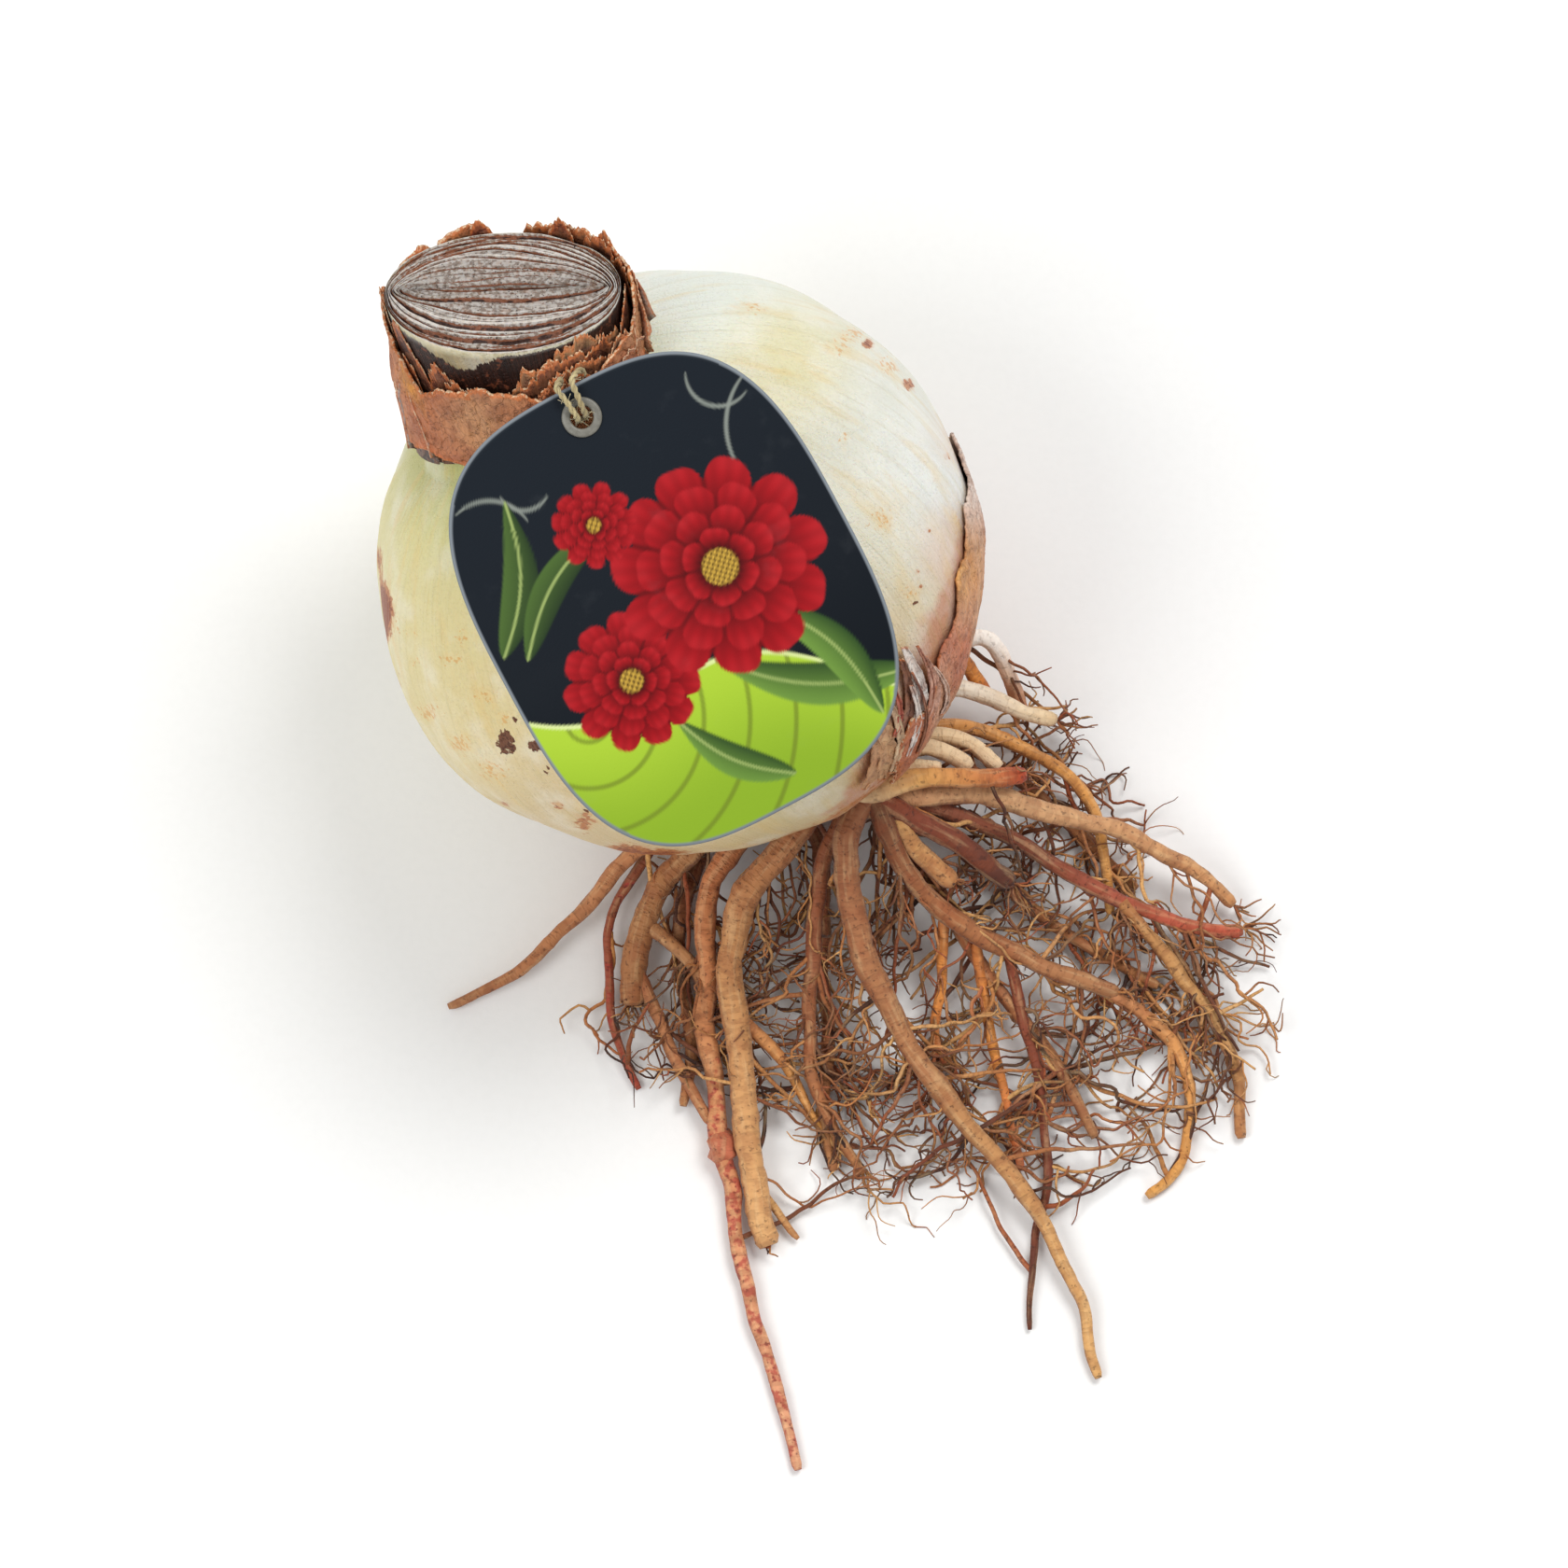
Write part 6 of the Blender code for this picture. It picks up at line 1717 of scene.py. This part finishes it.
@dataclass
class Twine(SubAssembly):
    """The twine: two plies of jute, laid in one loop through the ring and round the neck."""

    bulb: Bulb
    tag: HangTag
    radius: float = 0.5 * MM
    rise: float = 0.55
    left_turn: float = -62.0
    right_turn: float = -50.0
    skin_gap: float = 0.35 * MM
    collar_gap: float = 1.85 * MM
    skin_thickness: float = 0.7 * MM
    lay: float = 2.6 * MM
    steps: int = 14
    hairs: int = 160

    def on_tag(self, x: float, y: float, z: float) -> Vector:
        """Point beside the tag's hole, offset in mm."""
        place = Vector((self.tag.hole[0] + x * MM, self.tag.hole[1] + y * MM, z * MM))
        place.z += self.tag.height(place.y)
        return self.tag.placed @ place

    def round_neck(self, turn: float, rise: float, off: float) -> Vector:
        """Point beside the neck's wall, at a turn in degrees."""
        return self.bulb.placed(self.bulb.raised(math.radians(turn), rise, off))

    def route(self) -> list[Vector]:
        """Closed route: through the ring, over the tag's edge and round the neck inside the collar."""
        off = self.skin_gap + self.radius + 0.05 * MM
        over = self.collar_gap / 2 + self.skin_thickness
        points = [self.on_tag(*place) for place in (
            (0.0, -0.3, -2.4), (-0.66, -0.1, -1.0), (-0.66, 0.1, 0.6), (-0.75, 1.2, 1.75), (-0.95, 3.2, 1.75),
            (-1.3, 5.6, 1.5))]
        points += [self.round_neck(self.left_turn, 0.74, over),
                   self.round_neck(self.left_turn - 4, 0.62, off)]
        span = 360.0 - (self.right_turn - self.left_turn) - 24.0
        points += [self.round_neck(self.left_turn - 12 - span * index / self.steps, self.rise, off)
                   for index in range(self.steps + 1)]
        points += [self.round_neck(self.right_turn + 4, 0.62, off),
                   self.round_neck(self.right_turn, 0.74, over)]
        points += [self.on_tag(*place) for place in (
            (1.3, 5.6, 1.5), (0.95, 3.2, 1.75), (0.75, 1.2, 1.75), (0.66, 0.1, 0.6), (0.66, -0.1, -1.0))]
        return points

    def plies(self) -> list[Strand]:
        """The two plies, wound round the route."""
        points = self.route()
        ring = points[-1:] + points + points[:2]
        line = []
        for before, start, end, after in zip(ring, ring[1:], ring[2:], ring[3:]):
            count = max(3, round((end - start).length / (0.45 * MM)))
            line += [curve_point(before, start, end, after, index / count) for index in range(count)]
        line.append(line[0].copy())
        core = Strand(line, [], [])
        frames = core.frames()
        reach, strands = 0.0, []
        turns = []
        for index, point in enumerate(line):
            reach += (point - line[index - 1]).length if index else 0.0
            turns.append(FULL_TURN * reach / self.lay)
        for phase in (0.0, math.pi):
            ways = [side * math.cos(turn + phase) + other * math.sin(turn + phase)
                    for (side, other), turn in zip(frames, turns)]
            wound = [point + way * self.radius * 0.5 for point, way in zip(line, ways)]
            tones = [blended(linear("#D2C290"), linear("#A8966A"), 0.5 + noise.noise(point / (2 * MM)))
                     for point in wound]
            strands.append(Strand(wound, [self.radius * 0.56] * len(wound), tones, 8, 0.12, phase))
        return strands + self.loose_hairs(line)

    def loose_hairs(self, line: Sequence[Vector]) -> list[Strand]:
        """Fibres that stand out from the twine."""
        draw = random.Random(5)
        strands = []
        for _ in range(self.hairs):
            base = draw.choice(line)
            way = Vector([draw.uniform(-1, 1) for _ in range(3)]).normalized()
            curl = Vector([draw.uniform(-0.5, 0.5) for _ in range(3)])
            points = [base + (way * step + curl * step * step * 0.3) * 0.45 * MM for step in range(4)]
            strands.append(Strand(points, [0.05 * MM] * 4, [linear("#D6C898")] * 4, 4))
        return strands

    def build(self) -> None:
        """Grows and dresses the twine."""
        # Jute is matt, with a soft sheen from its loose fibres
        finish = JuteYarn("jute yarn", roughness=0.85, ior=1.5, relief=0.08, sheen=0.3)
        mesh = merged([strand.grow() for strand in self.plies()])
        self.settle("twine_plies", mesh, [finish], "jute_twine", ["twine"])


@dataclass
class Studio:
    """The pale floor, the soft lights and the camera."""

    bulb: Bulb
    lens: float = 400.0
    sensor: float = 36.0
    frame_width: float = 241.9 * MM
    aim: tuple[float, float] = (16.7 * MM, -33.1 * MM)
    floor_size: float = 8.0

    def lamp(self, name: str, place: tuple[float, float, float], size: float, power: float) -> None:
        """Soft round lamp that faces the bulb."""
        light = bpy.data.lights.new(name, "AREA")
        light.shape, light.size, light.energy = "DISK", size, power
        lamp = bpy.data.objects.new(name, light)
        bpy.context.scene.collection.objects.link(lamp)
        lamp.location = place
        lamp.rotation_euler = (self.bulb.centre - Vector(place)).to_track_quat("-Z", "Y").to_euler()
        lamp.visible_camera = False

    def build(self) -> None:
        """Sets up floor, lights and camera."""
        mesh = bmesh.new()
        bmesh.ops.create_grid(mesh, x_segments=1, y_segments=1, size=self.floor_size / 2)
        data = bpy.data.meshes.new("floor")
        mesh.to_mesh(data)
        mesh.free()
        floor = bpy.data.objects.new("floor", data)
        bpy.context.scene.collection.objects.link(floor)
        # Matt painted board, so pale that only soft shadows show on it
        painted = Plain("matt white paint", 0.9, 1.45, 0.01, code="#F8F8F6", shade="#EDEDEA", grain=1.5)
        data.materials.append(painted.material())
        world = bpy.data.worlds.new("studio")
        world.use_nodes = True
        world.node_tree.nodes["Background"].inputs["Color"].default_value = linear("#FBFCFF")
        world.node_tree.nodes["Background"].inputs["Strength"].default_value = 0.52
        bpy.context.scene.world = world
        bpy.context.scene.view_settings.view_transform = "Standard"
        self.lamp("key", (0.5, 0.55, 1.35), 0.75, 12.0)
        self.lamp("fill", (-0.8, -0.4, 1.2), 0.9, 8.5)
        camera = bpy.data.objects.new("camera", bpy.data.cameras.new("camera"))
        bpy.context.scene.collection.objects.link(camera)
        camera.data.lens, camera.data.sensor_width = self.lens, self.sensor
        distance = self.frame_width * self.lens / self.sensor
        aim = self.bulb.centre + Vector((self.aim[0], 0, 0)) + self.bulb.up_seen * self.aim[1]
        camera.location = aim + self.bulb.near_seen * distance
        camera.rotation_euler = (math.radians(90 - self.bulb.view_elevation), 0, 0)
        bpy.context.scene.camera = camera


def main() -> None:
    """Builds everything in order."""
    logging.basicConfig(level=logging.INFO, format="%(message)s")
    bulb = Bulb()
    Studio(bulb).build()
    bulb.build()
    DrySkins(bulb).build()
    Roots(bulb).build()
    tag = HangTag(bulb)
    tag.build()
    Twine(bulb, tag).build()
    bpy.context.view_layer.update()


if __name__ == "__main__":
    main()
